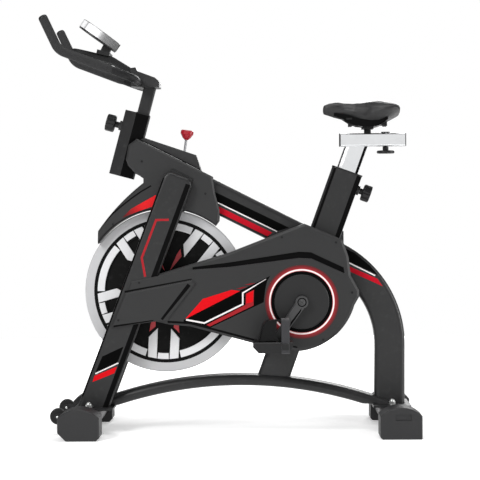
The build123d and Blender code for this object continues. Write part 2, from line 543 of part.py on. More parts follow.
lobe = chamfer(lobe.faces().sort_by(Axis.Y)[0].edges(), LOBE_CHAMFER)
cover_hollow = slab(inner_face, COVER_FACE_Y + SHELL + COVER_CHAMFER, COVER_INNER_Y)
hollow_top = slab(offset(cover_face, -12.0, kind=Kind.INTERSECTION), COVER_FACE_Y + SHELL, COVER_INNER_Y)
groove_line = [(-111, 474), (-3, 487), (194, 516), (229, 514), (322, 470)]
groove = side_face([*groove_line, (325, 452), (230, 495), (194, 497), (-3, 473), (-111, 466)])
cover = cover_solid + lobe - cover_hollow - hollow_top
groove_floor = COVER_FACE_Y + 3.5
cover += slab(groove, groove_floor, groove_floor + SHELL)
cover -= slab(groove, COVER_FACE_Y - 1, groove_floor)
blade_room = fork * (Pos(0, -BLADE_INNER - BLADE_WIDTH / 2, -blade_length / 2) * Box(
    BLADE_DEPTH + 2, BLADE_WIDTH + 2, blade_length + 10))
disc_hole = rod_y(CRANK_X, CRANK_Z, DISC_R + GAP, COVER_FACE_Y - 5, COVER_FACE_Y + 10)
cover = cover - blade_room - disc_hole
parts["chain_cover"] = max(cover.solids(), key=lambda s: s.volume)
disc = ring_y(CRANK_X, CRANK_Z, DISC_R, SPINDLE_R + 3.0, COVER_FACE_Y - 1.5, COVER_FACE_Y + SHELL)
disc = chamfer([e for e in disc.edges().filter_by(GeomType.CIRCLE)
                if abs(e.radius - DISC_R) < 0.01 and e.center().Y < COVER_FACE_Y], 1.2)
parts["crank_disc"] = disc
back = slab(cover_face, COVER_INNER_Y - SHELL, COVER_INNER_Y)
back -= rod_y(CRANK_X, CRANK_Z, SHELL_R + 1.5, -60, 0)
back -= rod_y(AXLE_X, AXLE_Z, HUB_R + 3.0, -60, 0)
parts["chain_cover_back"] = back

# ---------------------------------------------------------------- cowl over the head, and the brake box
rise_line = BEAM_DEPTH / 2 / math.cos(math.radians(beam_slope)) + SHELL + 2
slope = math.tan(math.radians(beam_slope))


def beam_top(x, lift=0.0):
    """Height of the cowl's top line over the main beam at x."""
    return BEAM_START[1] - slope * (x - BEAM_START[0]) + rise_line + lift


def arc_points(radius, angles):
    """Points on a circle round the flywheel axle; angles are from +X, in degrees."""
    return [(AXLE_X + radius * math.cos(math.radians(a)), 0, AXLE_Z + radius * math.sin(math.radians(a)))
            for a in angles]


cowl_low = arc_points(FLYWHEEL_R + 3.5, (52.0, 98.0, 144.5))
cowl_rear = [cowl_low[0], (-34, 0, 603), (-32, 0, 635), (-45, 0, 686), (-52, 0, beam_top(-52))]
cowl_nose = [(-52, 0, beam_top(-52)), (-268, 0, beam_top(-268)), (-292, 0, 825), (-300, 0, 783),
             (-294, 0, 766), (-279, 0, 749), (-250, 0, 728), (-250, 0, 716)]
cowl_wire = Wire([
    *Polyline(*cowl_rear).edges(),
    *Polyline(*cowl_nose).edges(),
    Edge.make_three_point_arc((-250, 0, 716), (-338, 0, 634), (-382, 0, 578)),
    Edge.make_line((-382, 0, 578), cowl_low[2]),
    Edge.make_three_point_arc(cowl_low[2], cowl_low[1], cowl_low[0]),
])
cowl_face = Face(cowl_wire)
cowl = slab(cowl_face, -COWL_HALF, 0)
cowl_edges = [e for e in cowl.faces().sort_by(Axis.Y)[0].edges()
              if e.center().Z > 560 and e.length > 14]
cowl = chamfer(cowl_edges, COWL_CHAMFER)
cowl_hollow = slab(offset(cowl_face, -SHELL, kind=Kind.INTERSECTION), -COWL_HALF + 8, 1)
cowl_hollow += slab(offset(cowl_face, -8.0, kind=Kind.INTERSECTION), -COWL_HALF + SHELL, -COWL_HALF + 9)
pad_room = brake_axis * Pos(0, 0, FLYWHEEL_R + 10) * Box(86, 44, 60)
crown_room = crown_place * Box(CROWN_LENGTH + 2, 2 * BLADE_INNER + 4, CROWN_DEPTH + 2)
rod_room = brake_axis * Pos(0, 0, 400) * Cylinder(GUIDE_R + 1, 300)
head_room = head_prism([(x * 1.03, y * 1.03) for x, y in head_section], -HEAD_LENGTH - 10, 10)
beam_room = sweep(Plane(origin=beam_path @ 0, z_dir=beam_path % 0, x_dir=(0, 1, 0)) * RectangleRounded(
    BEAM_WIDTH + 2, BEAM_DEPTH + 2, BEAM_ROUND + 1), path=beam_path)
cowl = cowl - cowl_hollow - pad_room - crown_room - rod_room - head_room - beam_room
cowl_left = max(cowl.solids(), key=lambda s: s.volume)
parts["cowl_left"], parts["cowl_right"] = cowl_left, mirrored(cowl_left)

box_outline = [(-262, beam_top(-262, GAP)), (-246, 845.5), (-99, 795.0), (-84, beam_top(-84, GAP))]
brake_box = slab(side_face(box_outline), -BOX_HALF, BOX_HALF)
brake_box = fillet([e for e in brake_box.edges() if e.center().Z > 770 and abs(e.center().Y) > 1
                    and e.length > 30], 4.0)
box_hollow = slab(side_face([(-240, 700), (-240, 838), (-104, 790), (-92, 700)]), -BOX_HALF + SHELL,
                  BOX_HALF - SHELL)
parts["brake_cover"] = brake_box - box_hollow - rod_room - head_room

# ---------------------------------------------------------------- brake
guide = brake_axis * Pos(0, 0, GUIDE_MIDDLE) * (Cylinder(GUIDE_R, GUIDE_LENGTH) - Cylinder(ROD_R + 0.4, 120))
pad_bottom = FLYWHEEL_R + BRAKE_GAP
rod_bottom = pad_bottom + 15
brake_rod = brake_axis * Pos(0, 0, (rod_bottom + ROD_TOP) / 2) * Cylinder(ROD_R, ROD_TOP - rod_bottom)
wheel_keep = rod_y(AXLE_X, AXLE_Z, pad_bottom, -100, 100)
pad = brake_axis * Pos(0, 0, pad_bottom + 2) * Box(64, 28, 12) - wheel_keep
pad_top = brake_axis * Pos(0, 0, pad_bottom + 8 + 30) * Box(100, 60, 60)
parts["brake_pad"] = pad - pad_top
shoe = brake_axis * (Pos(0, 0, pad_bottom + 11.5) * Box(72, 32, 7))
spring_height = SPRING_HIGH - SPRING_LOW
spring_path = Helix(pitch=spring_height / 5, height=spring_height, radius=SPRING_R)
spring_start = Plane(origin=spring_path @ 0, z_dir=spring_path % 0)
coil = sweep(spring_start * Circle(WIRE_R), path=spring_path)
parts["brake_spring"] = brake_axis * Pos(0, 0, SPRING_LOW + 1.3) * coil
collar = brake_axis * Pos(0, 0, SPRING_HIGH + 4.8) * (Cylinder(10, 4) - Cylinder(ROD_R, 10))
parts["brake_rod"] = group(brake_rod, collar, shoe)
knob_outline = [(0, 0), (5.5, 0), (11, 5), (18.5, 17), (18.5, 25), (15.5, 28), (0, 28)]
knob_section = Plane.XZ * make_face(Polyline(*knob_outline, close=True))
knob_bore = Cylinder(ROD_R + RUN, 2 * (ROD_TOP - BRAKE_KNOB_LOW + GAP))
red_knob = Pos(0, 0, BRAKE_KNOB_LOW) * (revolve(knob_section, Axis.Z) - knob_bore)
parts["brake_knob"] = brake_axis * red_knob

# ---------------------------------------------------------------- lock pins and their knobs
def star_knob(radius, thick, neck, neck_r):
    """A fluted knob along +Z: a neck from z = 0, then the head; it has a central bore for its pin."""
    head_part = Pos(0, 0, neck + thick / 2) * Cylinder(radius, thick)
    head_part = fillet(head_part.edges().filter_by(GeomType.CIRCLE), 4.0)
    for turn in range(8):
        spot = Rot(0, 0, 45 * turn) * Pos(radius + 3.2, 0, neck + thick / 2)
        head_part -= spot * Cylinder(6.0, thick + 2)
    return head_part + Pos(0, 0, neck / 2) * Cylinder(neck_r, neck)


def lock(place, tip, face, boss, neck, thick):
    """A pull pin: (boss on the tube, pin, knob). place has its z axis pointing out of the tube; tip, face
    and boss are distances along it to the pin's tip, the tube's face and the boss's outer face."""
    bush = place * Pos(0, 0, (face + boss) / 2) * (Cylinder(BOSS_R, boss - face) - Cylinder(PIN_R + GAP, 90))
    knob_base = boss + 1.0
    end = knob_base + neck + thick - 6
    pin = place * Pos(0, 0, (tip + end) / 2) * Cylinder(PIN_R, end - tip)
    knob = place * Pos(0, 0, knob_base) * (star_knob(KNOB_R, thick, neck, 9.0) - Pos(
        0, 0, (end - knob_base) / 2 - 10) * Cylinder(PIN_R + RUN, end - knob_base + 20 + 2 * GAP))
    return bush, pin, knob


head_out = head * Pos(0, 0, -HEAD_PIN_DROP) * Rot(0, -90, 0)
seat_out = seat * Pos(0, 0, -SEAT_PIN_DROP) * Rot(0, 90, 0)
head_tip = -(POST_OFFSET - POST_SIZE / 2) + 0.4
head_boss, head_pin, head_knob = lock(head_out, head_tip, -HEAD_FRONT, -HEAD_FRONT + 7, 12.0, 26.0)
seat_boss, seat_pin, seat_knob = lock(seat_out, SEAT_POST_DEPTH / 2 + 0.4, SEAT_TUBE_DEPTH / 2,
                                      SEAT_TUBE_DEPTH / 2 + 7, 9.0, 24.0)
parts["head_pin"], parts["head_knob"] = head_pin, head_knob
parts["seat_pin"], parts["seat_knob"] = seat_pin, seat_knob
parts["frame_brackets"] = group(front_plate, rear_plate, *ears, crown, dropout_left, mirrored(dropout_left),
                                guide, head_boss, seat_boss)

# ---------------------------------------------------------------- seat post, slide and saddle
slide_low = SLIDE_Z - SLIDE_HEIGHT / 2
slide_high = SLIDE_Z + SLIDE_HEIGHT / 2
post_section = Rectangle(SEAT_POST_DEPTH, SEAT_POST_WIDTH)
post_section = fillet(post_section.vertices(), 5.0)
post_hollow = fillet(Rectangle(SEAT_POST_DEPTH - 5, SEAT_POST_WIDTH - 5).vertices(), 2.5)
post_tube = seat * Pos(0, 0, -POST_IN_SEAT) * extrude(post_section - post_hollow, POST_IN_SEAT + 130)
parts["seat_post"] = post_tube - above(slide_low)

tube_section = Plane.YZ * fillet(Rectangle(SLIDE_WIDTH, SLIDE_HEIGHT).vertices(), 4.0)
tube_hollow = Plane.YZ * fillet(Rectangle(SLIDE_WIDTH - 5, SLIDE_HEIGHT - 5).vertices(), 1.5)
slide = Pos(SLIDE_X - SLIDE_LENGTH / 2, 0, SLIDE_Z) * extrude(tube_section - tube_hollow, SLIDE_LENGTH)
slide -= block(SADDLE_STUB_X - SADDLE_TRAVEL - STUB_R - 1, SADDLE_KNOB_X + SADDLE_TRAVEL + 6,
               -STUB_R - 1, STUB_R + 1, SLIDE_Z, slide_high + 1)
slide -= block(SADDLE_KNOB_X - SADDLE_TRAVEL - 5, SADDLE_KNOB_X + SADDLE_TRAVEL + 5, -5.5, 5.5,
               slide_low - 1, SLIDE_Z)
parts["seat_slide_tube"] = slide
caps = []
for sign in (-1, 1):
    end_x = SLIDE_X + sign * SLIDE_LENGTH / 2
    plate = Plane.YZ * fillet(Rectangle(SLIDE_WIDTH, SLIDE_HEIGHT).vertices(), 4.0)
    plug = Plane.YZ * Rectangle(SLIDE_WIDTH - 6, SLIDE_HEIGHT - 6)
    caps.append(Pos(end_x, 0, SLIDE_Z) * (extrude(plate, sign * 2.5) + extrude(plug, -sign * 4)))
parts["slide_end_caps"] = group(*caps)

inside_half, inside_tall = SLIDE_WIDTH / 2 - 2.5 - GAP, SLIDE_HEIGHT / 2 - 2.5 - GAP
carriage = block(SADDLE_STUB_X - 22, SADDLE_KNOB_X + 14, -inside_half, inside_half,
                 SLIDE_Z - inside_tall, SLIDE_Z + inside_tall)
carriage = chamfer(carriage.edges().filter_by(Axis.X), 2.0)
carriage += Pos(SADDLE_STUB_X, 0, (SLIDE_Z + STUB_TOP) / 2) * Cylinder(STUB_R, STUB_TOP - SLIDE_Z)
carriage -= Pos(SADDLE_KNOB_X, 0, SLIDE_Z) * Cylinder(4.0 + RUN, 80)
clamp_block = block(SADDLE_STUB_X - 16, SADDLE_STUB_X + 16, -27, 27, STUB_TOP, STUB_TOP + 24)
bolt_place = Pos(SADDLE_STUB_X, 0, STUB_TOP + 6) * Rot(90, 0, 0)
clamp_block -= bolt_place * Cylinder(4.0 + RUN, 70)
saddle_base = block(335, 462, -31, 31, 893, 898)
rails = []
for side in (-1, 1):
    rail_place = Pos(SADDLE_STUB_X, side * RAIL_Y, RAIL_Z) * Rot(0, 90, 0)
    clamp_block -= rail_place * Cylinder(RAIL_R + 0.1, 60)
    for x in (347, 447):
        saddle_base += block(x - 5, x + 5, side * RAIL_Y - 6, side * RAIL_Y + 6, RAIL_Z - 6, 893)
    rails.append(rail_place * Cylinder(RAIL_R, 110))
    saddle_base -= rails[-1]
parts["saddle_carriage"] = group(carriage, clamp_block, bolt_place * Cylinder(4.0, 66))
parts["saddle_base"] = group(saddle_base, *rails)

# x, half width, underside and top of each saddle section
saddle_stations = [
    (266.5, 11, 912, 934), (284, 19, 909, 941), (330, 26, 899, 937), (385, 54, 874, 938), (425, 80, 870, 943),
    (462, 84, 894, 943), (489, 66, 906, 936)]
sections = []
for x, half, low, high in saddle_stations:
    station = Plane(origin=(x, 0, (low + high) / 2), x_dir=(0, 1, 0), z_dir=(1, 0, 0))
    sections.append(station * RectangleRounded(2 * half, high - low, min(half, (high - low) / 2) * 0.72))
saddle = loft(sections)
pocket = block(318, 474, -36, 36, 800, 892.7) + block(334, 463, -31.3, 31.3, 892, 898.3)
parts["saddle_pad"] = saddle - pocket

screw = Pos(SADDLE_KNOB_X, 0, (slide_low - 6 + slide_high + 2) / 2) * Cylinder(
    4.0, slide_high + 2 - (slide_low - 6))
top_nut = Pos(SADDLE_KNOB_X, 0, slide_high + 0.3) * extrude(RegularPolygon(12.5, 6), 4.0)
dial = Pos(SADDLE_KNOB_X, 0, slide_low - 1.0) * Rot(180, 0, 0) * (
    Pos(0, 0, 6) * Cylinder(8.5, 12) + Pos(0, 0, 16) * Cylinder(KNOB_R + 0.5, 9))
dial = fillet([e for e in dial.edges().filter_by(GeomType.CIRCLE) if e.radius > KNOB_R], 3.5)
parts["saddle_knob"] = dial + screw + top_nut

# ---------------------------------------------------------------- handlebar
post_axis = head * Pos(POST_OFFSET, 0, 0)
bar_section = fillet(Rectangle(POST_SIZE, POST_SIZE).vertices(), 4.0)
bar_hollow = fillet(Rectangle(POST_SIZE - 5, POST_SIZE - 5).vertices(), 2.0)
bar_post = post_axis * Pos(0, 0, -POST_IN_HEAD) * extrude(bar_section - bar_hollow, POST_IN_HEAD + 130)
parts["handlebar_post"] = bar_post - above(STEM_BASE_Z)

bar_points = [(HORN_TIP[0], -BAR_HALF, HORN_TIP[1]), (HORN_CORNER[0], -BAR_HALF, HORN_CORNER[1]),
              (BAR_REAR[0], -BAR_HALF, BAR_REAR[1]), (BAR_REAR[0], BAR_HALF, BAR_REAR[1]),
              (HORN_CORNER[0], BAR_HALF, HORN_CORNER[1]), (HORN_TIP[0], BAR_HALF, HORN_TIP[1])]
bar_path = FilletPolyline(*bar_points, radius=BAR_BEND)
bar_start = Plane(origin=bar_path @ 0, z_dir=bar_path % 0)
parts["outer_bar"] = sweep(bar_start * (Circle(BAR_R) - Circle(BAR_R - 2)), path=bar_path)
bar_filled = sweep(bar_start * Circle(BAR_R), path=bar_path)
run_slope = (BAR_REAR[1] - HORN_CORNER[1]) / (BAR_REAR[0] - HORN_CORNER[0])
grip_end_z = HORN_CORNER[1] + run_slope * (GRIP_END - HORN_CORNER[0])
grip_path = FilletPolyline(bar_points[0], bar_points[1], (GRIP_END, -BAR_HALF, grip_end_z), radius=BAR_BEND)
grip_start = Plane(origin=grip_path @ 0, z_dir=grip_path % 0)
grip = sweep(grip_start * (Circle(GRIP_R) - Circle(BAR_R)), path=grip_path)
horn_dir = -(grip_path % 0)
plug = Plane(origin=grip_path @ 0, z_dir=horn_dir) * Pos(0, 0, PLUG / 2) * Cylinder(GRIP_R, PLUG)
plug = fillet(plug.edges().filter_by(GeomType.CIRCLE).sort_by(Axis.Z)[-1:], 2.0)

loop_side = [(x, -LOOP_HALF, z) for x, z in (LOOP_REAR, LOOP_MIDDLE, LOOP_FRONT)]
loop_points = loop_side + [(x, -y, z) for x, y, z in reversed(loop_side)]
loop_path = FilletPolyline(*loop_points, radius=LOOP_BEND)
loop_start = Plane(origin=loop_path @ 0, z_dir=loop_path % 0)
inner_loop = sweep(loop_start * (Circle(LOOP_R) - Circle(LOOP_R - 2)), path=loop_path)
loop_filled = sweep(loop_start * Circle(LOOP_R), path=loop_path)
stem_front, stem_top = LOOP_REAR[0], LOOP_REAR[1] + LOOP_R
stem_outline = [(stem_front, 993), (stem_front, stem_top), (stem_front + 14, stem_top + 2),
                (stem_front + 20, stem_top - 9), (-214, 1017), (-203, 1007), (-202, STEM_BASE_Z),
                (-250, STEM_BASE_Z)]
stem = slab(side_face(stem_outline), -LOOP_HALF - 12, LOOP_HALF + 12)
stem = fillet([e for e in stem.edges() if e.center().Z > 1005 and abs(e.center().Y) < 1], 3.0)
parts["stem_head"] = stem - bar_filled
parts["inner_loop"] = inner_loop - stem
parts["grips"] = group(both(grip), both(plug))

# ---------------------------------------------------------------- console
dial_plane = leaning(CONSOLE_X, CONSOLE_Z, CONSOLE_TILT)
rim_low = -CONSOLE_THICK / 2 + CONSOLE_BACK
rim_high = CONSOLE_THICK / 2
rim = Pos(0, 0, (rim_low + rim_high) / 2) * (
    Cylinder(CONSOLE_R, rim_high - rim_low) - Cylinder(CONSOLE_R - RIM_WALL, 60))
rim = fillet([e for e in rim.edges().filter_by(GeomType.CIRCLE) if e.center().Z > 0], 1.5)
parts["console_rim"] = dial_plane * rim
back_disc = Pos(0, 0, -CONSOLE_THICK / 2 + CONSOLE_BACK / 2) * Cylinder(CONSOLE_R - 1, CONSOLE_BACK)
face_high = rim_high - 3.0
screen = Pos(0, 0, (rim_low + face_high) / 2) * Cylinder(CONSOLE_R - RIM_WALL, face_high - rim_low)
screen -= Pos(BUTTON_X, 0, face_high) * Cylinder(BUTTON_R + GAP, 8.0)
parts["console_face"] = dial_plane * screen
button = Pos(BUTTON_X, 0, face_high + 0.25) * Cylinder(BUTTON_R, 3.5)
button = fillet(button.edges().filter_by(GeomType.CIRCLE).sort_by(Axis.Z)[-1:], 0.8)
parts["console_button"] = dial_plane * button
neck_top = [dial_plane.from_local_coords((x, 0, 0)) for x in (NECK_X - 12, NECK_X + 12)]
loop_slope = (LOOP_FRONT[1] - LOOP_MIDDLE[1]) / (LOOP_FRONT[0] - LOOP_MIDDLE[0])
bridge_z = LOOP_MIDDLE[1] + loop_slope * (BRIDGE_X - LOOP_MIDDLE[0])
bridge_place = Pos(BRIDGE_X, 0, bridge_z) * Rot(0, math.degrees(math.atan(-loop_slope)), 0)
bridge = bridge_place * Pos(0, 0, LOOP_R + 4) * Box(36, 2 * LOOP_HALF + 26, 12)
neck = slab(side_face([(neck_top[0].X, neck_top[0].Z), (neck_top[1].X, neck_top[1].Z),
                       (BRIDGE_X + 14, bridge_z + 10), (BRIDGE_X - 12, bridge_z + 14)]), -15, 15)
bridge += neck - dial_plane * Pos(0, 0, 50 - CONSOLE_THICK / 2) * Box(300, 300, 100)
bridge -= bridge_place * Pos(0, 0, -38) * Box(200, 200, 76)
bridge -= loop_filled
parts["console_back"] = group(dial_plane * back_disc, max(bridge.solids(), key=lambda s: s.volume))

# ---------------------------------------------------------------- cover screws
def screw_y(x, z, y_face):
    """A small pan-head screw on a cover's side face at y_face, its head on the face."""
    return rod_y(x, z, 3.2, y_face - 1.6, y_face)


screw_places = [(-254, 777, -COWL_HALF), (-72, 683, -COWL_HALF), (-338, 597, -COWL_HALF),
                (146, 557, COVER_FACE_Y), (300, 541, COVER_FACE_Y), (345, 398, COVER_FACE_Y),
                (262, 264, COVER_FACE_Y), (-322, 324, LOBE_FACE_Y), (-262, 430, COVER_FACE_Y)]
screws = [screw_y(*place) for place in screw_places]
screws += [mirrored(screw_y(*place)) for place in screw_places[:3]]
parts["cover_screws"] = group(*screws)

# ---------------------------------------------------------------- write one file per piece
for name, shape in parts.items():
    solids = shape.solids()
    whole = solids[0] if len(solids) == 1 else Compound(children=list(solids))
    export_step(whole, f"parts/{name}.step")
print(len(parts), "nodes")
box = Compound(children=[s for shape in parts.values() for s in shape.solids()]).bounding_box()
print("lowest corner", box.min, "highest corner", box.max)
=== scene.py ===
"""Finishes, trim and soft pieces of an indoor exercise bike, dressed on its fixed mechanical frame.

Metres, +Z up, the handlebar end at -X and the rider's left hand at -Y, as in the frame.
"""
from __future__ import annotations

import logging
import math
from collections.abc import Sequence
from dataclasses import dataclass
from enum import Enum
from functools import reduce
from operator import add
from typing import Any

import bmesh
import bpy
import numpy as np
from mathutils import Matrix, Vector
from numpy.typing import NDArray


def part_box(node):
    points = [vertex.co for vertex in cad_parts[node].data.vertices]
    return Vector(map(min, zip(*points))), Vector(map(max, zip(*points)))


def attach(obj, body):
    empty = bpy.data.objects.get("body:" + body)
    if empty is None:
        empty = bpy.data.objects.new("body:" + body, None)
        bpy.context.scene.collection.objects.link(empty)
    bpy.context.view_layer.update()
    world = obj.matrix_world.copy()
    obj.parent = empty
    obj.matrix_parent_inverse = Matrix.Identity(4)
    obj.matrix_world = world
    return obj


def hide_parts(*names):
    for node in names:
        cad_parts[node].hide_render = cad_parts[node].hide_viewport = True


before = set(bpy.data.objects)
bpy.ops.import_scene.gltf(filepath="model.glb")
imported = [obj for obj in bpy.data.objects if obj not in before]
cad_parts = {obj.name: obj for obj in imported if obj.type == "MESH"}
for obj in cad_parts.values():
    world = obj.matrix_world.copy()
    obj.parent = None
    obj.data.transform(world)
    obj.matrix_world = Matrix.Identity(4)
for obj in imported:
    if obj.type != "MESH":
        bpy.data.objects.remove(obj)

LOG = logging.getLogger("exercise_bike")
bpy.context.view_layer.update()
MM = 0.001

Array = NDArray[np.float64]
Colour = tuple[float, float, float]
Point2 = tuple[float, float]
Point3 = tuple[float, float, float]


# ---------------------------------------------------------------- shader arithmetic
@dataclass(frozen=True)
class Signal:
    """One output socket of a material's nodes; operators on it add Math nodes."""

    book: "NodeBook"
    socket: bpy.types.NodeSocket

    def _math(self, operation: str, *values: Any) -> "Signal":
        """The result of one Math node fed with signals or numbers."""
        made = self.book.node("ShaderNodeMath", {"operation": operation}, dict(enumerate(values)))
        return Signal(self.book, made.outputs[0])

    def __add__(self, other: Any) -> "Signal":
        """self + other."""
        return self._math("ADD", self, other)

    def __radd__(self, other: Any) -> "Signal":
        """other + self."""
        return self._math("ADD", other, self)

    def __sub__(self, other: Any) -> "Signal":
        """self - other."""
        return self._math("SUBTRACT", self, other)

    def __rsub__(self, other: Any) -> "Signal":
        """other - self."""
        return self._math("SUBTRACT", other, self)

    def __mul__(self, other: Any) -> "Signal":
        """self * other."""
        return self._math("MULTIPLY", self, other)

    def sine(self) -> "Signal":
        """The sine of self."""
        return self._math("SINE", self)

    def root(self) -> "Signal":
        """The square root of self."""
        return self._math("SQRT", self)

    def size(self) -> "Signal":
        """The absolute value of self."""
        return self._math("ABSOLUTE", self)

    def between(self, low: float, high: float) -> "Signal":
        """A smooth ramp from 0 where self is low to 1 where it is high."""
        made = self.book.node("ShaderNodeMapRange", {"interpolation_type": "SMOOTHSTEP"},
                              {0: self, 1: low, 2: high, 3: 0.0, 4: 1.0})
        return Signal(self.book, made.outputs[0])


class NodeBook:
    """Makes one material, adds its nodes and wires them."""

    def __init__(self, name: str) -> None:
        """Starts an empty material of that name."""
        self.material = bpy.data.materials.new(name)
        self.material.use_nodes = True
        self.tree = self.material.node_tree
        self.tree.nodes.clear()
        self._place: Signal | None = None
        self._split: bpy.types.Node | None = None

    def node(self, kind: str, settings: dict[str, Any] | None = None,
             inputs: dict[Any, Any] | None = None) -> bpy.types.Node:
        """Adds one node.

        Args:
            kind: the node's type.
            settings: properties set first; "stops" holds a ramp's (position, colour) pairs.
            inputs: values or signals by socket name or number.

        Returns:
            The node.
        """
        made = self.tree.nodes.new(kind)
        for key, value in (settings or {}).items():
            if key == "stops":
                while len(made.color_ramp.elements) < len(value):
                    made.color_ramp.elements.new(0.5)
                for element, (position, colour) in zip(made.color_ramp.elements, value):
                    element.position = position
                    element.color = (*colour, 1.0)
            else:
                setattr(made, key, value)
        for key, value in (inputs or {}).items():
            self.plug(made.inputs[key], value)
        return made

    def plug(self, socket: bpy.types.NodeSocket, value: Any) -> None:
        """Links a signal to a socket, or sets the socket's own value.

        Args:
            socket: the input socket.
            value: a signal, a number, a colour or a vector.
        """
        if isinstance(value, Signal):
            self.tree.links.new(value.socket, socket)
        elif isinstance(value, (tuple, list)) and socket.type == "RGBA":
            socket.default_value = (*value[:3], 1.0)
        else:
            socket.default_value = value

    def place(self) -> Signal:
        """The point being shaded, in the bike's frame."""
        if self._place is None:
            self._place = Signal(self, self.node("ShaderNodeTexCoord").outputs["Object"])
        return self._place

    def axis(self, index: int) -> Signal:
        """One coordinate of the point being shaded: 0, 1 or 2."""
        if self._split is None:
            self._split = self.node("ShaderNodeSeparateXYZ", None, {0: self.place()})
        return Signal(self, self._split.outputs[index])

    def distance(self, centre: Point2, axes: tuple[int, int] = (0, 2)) -> Signal:
        """Distance from a centre in the plane of two axes: the root of the two offsets' squares added."""
        first, second = (self.axis(axis) - value for axis, value in zip(axes, centre))
        return (first * first + second * second).root()

    def stretched(self, scale: Point3) -> Signal:
        """The shaded point scaled by a factor along each axis."""
        made = self.node("ShaderNodeMapping", None, {"Vector": self.place(), "Scale": scale})
        return Signal(self, made.outputs[0])

    def noise(self, scale: float, detail: float = 3.0, vector: Signal | None = None) -> Signal:
        """Cloudy noise from 0 to 1: scale in features per metre, detail in octaves, read at the shaded point."""
        made = self.node("ShaderNodeTexNoise", None,
                         {"Vector": vector or self.place(), "Scale": scale, "Detail": detail})
        return Signal(self, made.outputs[0])

    def cells(self, scale: float, feature: str = "F1", vector: Signal | None = None) -> Signal:
        """Distance to the nearest cell point or cell edge, with scale in cells per metre."""
        made = self.node("ShaderNodeTexVoronoi", {"feature": feature},
                         {"Vector": vector or self.place(), "Scale": scale})
        return Signal(self, made.outputs["Distance"])

    def blend(self, factor: Any, first: Any, second: Any) -> Signal:
        """A colour between two: factor 0 gives the first, 1 the second."""
        made = self.node("ShaderNodeMix", {"data_type": "RGBA"}, {0: factor, 6: first, 7: second})
        return Signal(self, made.outputs[2])

    def tones(self, factor: Any, tint: Colour, first: float, second: float) -> Signal:
        """A tint between two strengths of itself; see blend."""
        return self.blend(factor, shade(tint, first), shade(tint, second))

    def bump(self, height: Signal, depth: float, strength: float = 1.0,
             normal: Signal | None = None) -> Signal:
        """A bumped normal.

        Args:
            height: from 0 to 1.
            depth: metres of relief at height 1.
            strength: share of the effect.
            normal: an already bumped normal.

        Returns:
            The normal.
        """
        inputs: dict[Any, Any] = {"Height": height, "Distance": depth, "Strength": strength}
        if normal is not None:
            inputs["Normal"] = normal
        return Signal(self, self.node("ShaderNodeBump", None, inputs).outputs[0])

    def surface(self, colour: Any, roughness: Any, metallic: float = 0.0, normal: Signal | None = None,
                **fixed: float) -> bpy.types.Material:
        """Closes the material with one Principled shader.

        Args:
            colour: base colour.
            roughness: roughness.
            metallic: metallic share.
            normal: the bumped normal.
            **fixed: further plain socket values, with _ for a space.

        Returns:
            The finished material.
        """
        inputs: dict[Any, Any] = {"Base Color": colour, "Roughness": roughness, "Metallic": metallic}
        if normal is not None:
            inputs["Normal"] = normal
        inputs.update({key.replace("_", " "): value for key, value in fixed.items()})
        shader = self.node("ShaderNodeBsdfPrincipled", None, inputs)
        output = self.node("ShaderNodeOutputMaterial")
        self.tree.links.new(shader.outputs[0], output.inputs["Surface"])
        return self.material


def shade(colour: Colour, factor: float) -> Colour:
    """A colour made lighter or darker by a factor."""
    return (colour[0] * factor, colour[1] * factor, colour[2] * factor)


# ---------------------------------------------------------------- finishes
@dataclass(frozen=True)
class Coating:
    """A finish of any kind; each kind lays out its own nodes."""

    name: str

    def make(self) -> bpy.types.Material:
        """Builds the material."""
        return self.layers(NodeBook(self.name))

    def layers(self, book: NodeBook) -> bpy.types.Material:
        """Lays out the nodes and returns the material; every kind has its own."""
        raise NotImplementedError


@dataclass(frozen=True)
class PowderCoat(Coating):
    """Satin powder coat on welded steel: faint orange peel and a cloudy sheen."""

    tint: Colour = (0.0165, 0.0165, 0.017)
    rough: float = 0.38
    peel: float = 0.00006
    gloss: float = 0.34

    def layers(self, book: NodeBook) -> bpy.types.Material:
        """Lays out the nodes."""
        cloud = book.noise(7.0, 4.0)
        peel = book.noise(750.0, 2.0)
        dust = book.noise(60.0, 6.0).between(0.52, 0.8)
        colour = book.tones(cloud, self.tint, 0.86, 1.16)
        colour = book.blend(dust * 0.12, colour, (0.09, 0.09, 0.088))
        rough = self.rough + (cloud - 0.5) * 0.10 + dust * 0.06
        normal = book.bump(peel, self.peel, 0.55)
        return book.surface(colour, rough, normal=normal, Specular_IOR_Level=self.gloss)


@dataclass(frozen=True)
class MouldedPlastic(Coating):
    """Moulded plastic with a fine spark-eroded grain."""

    tint: Colour = (0.023, 0.023, 0.0235)
    rough: float = 0.44
    grain: float = 1500.0
    gloss: float = 0.30

    def layers(self, book: NodeBook) -> bpy.types.Material:
        """Lays out the nodes."""
        cloud = book.noise(5.0, 3.0)
        pits = book.cells(self.grain) * 0.7 + book.noise(self.grain * 1.4, 2.0) * 0.3
        flow = book.noise(1.0, 2.0, book.stretched((9.0, 9.0, 55.0)))
        colour = book.tones(cloud, self.tint, 0.9, 1.12)
        colour = book.blend(pits * 0.25, colour, shade(self.tint, 0.6))
        rough = self.rough + (cloud - 0.5) * 0.07 + (flow - 0.5) * 0.05
        normal = book.bump(pits, 0.00009, 0.5)
        return book.surface(colour, rough, normal=normal, Specular_IOR_Level=self.gloss)


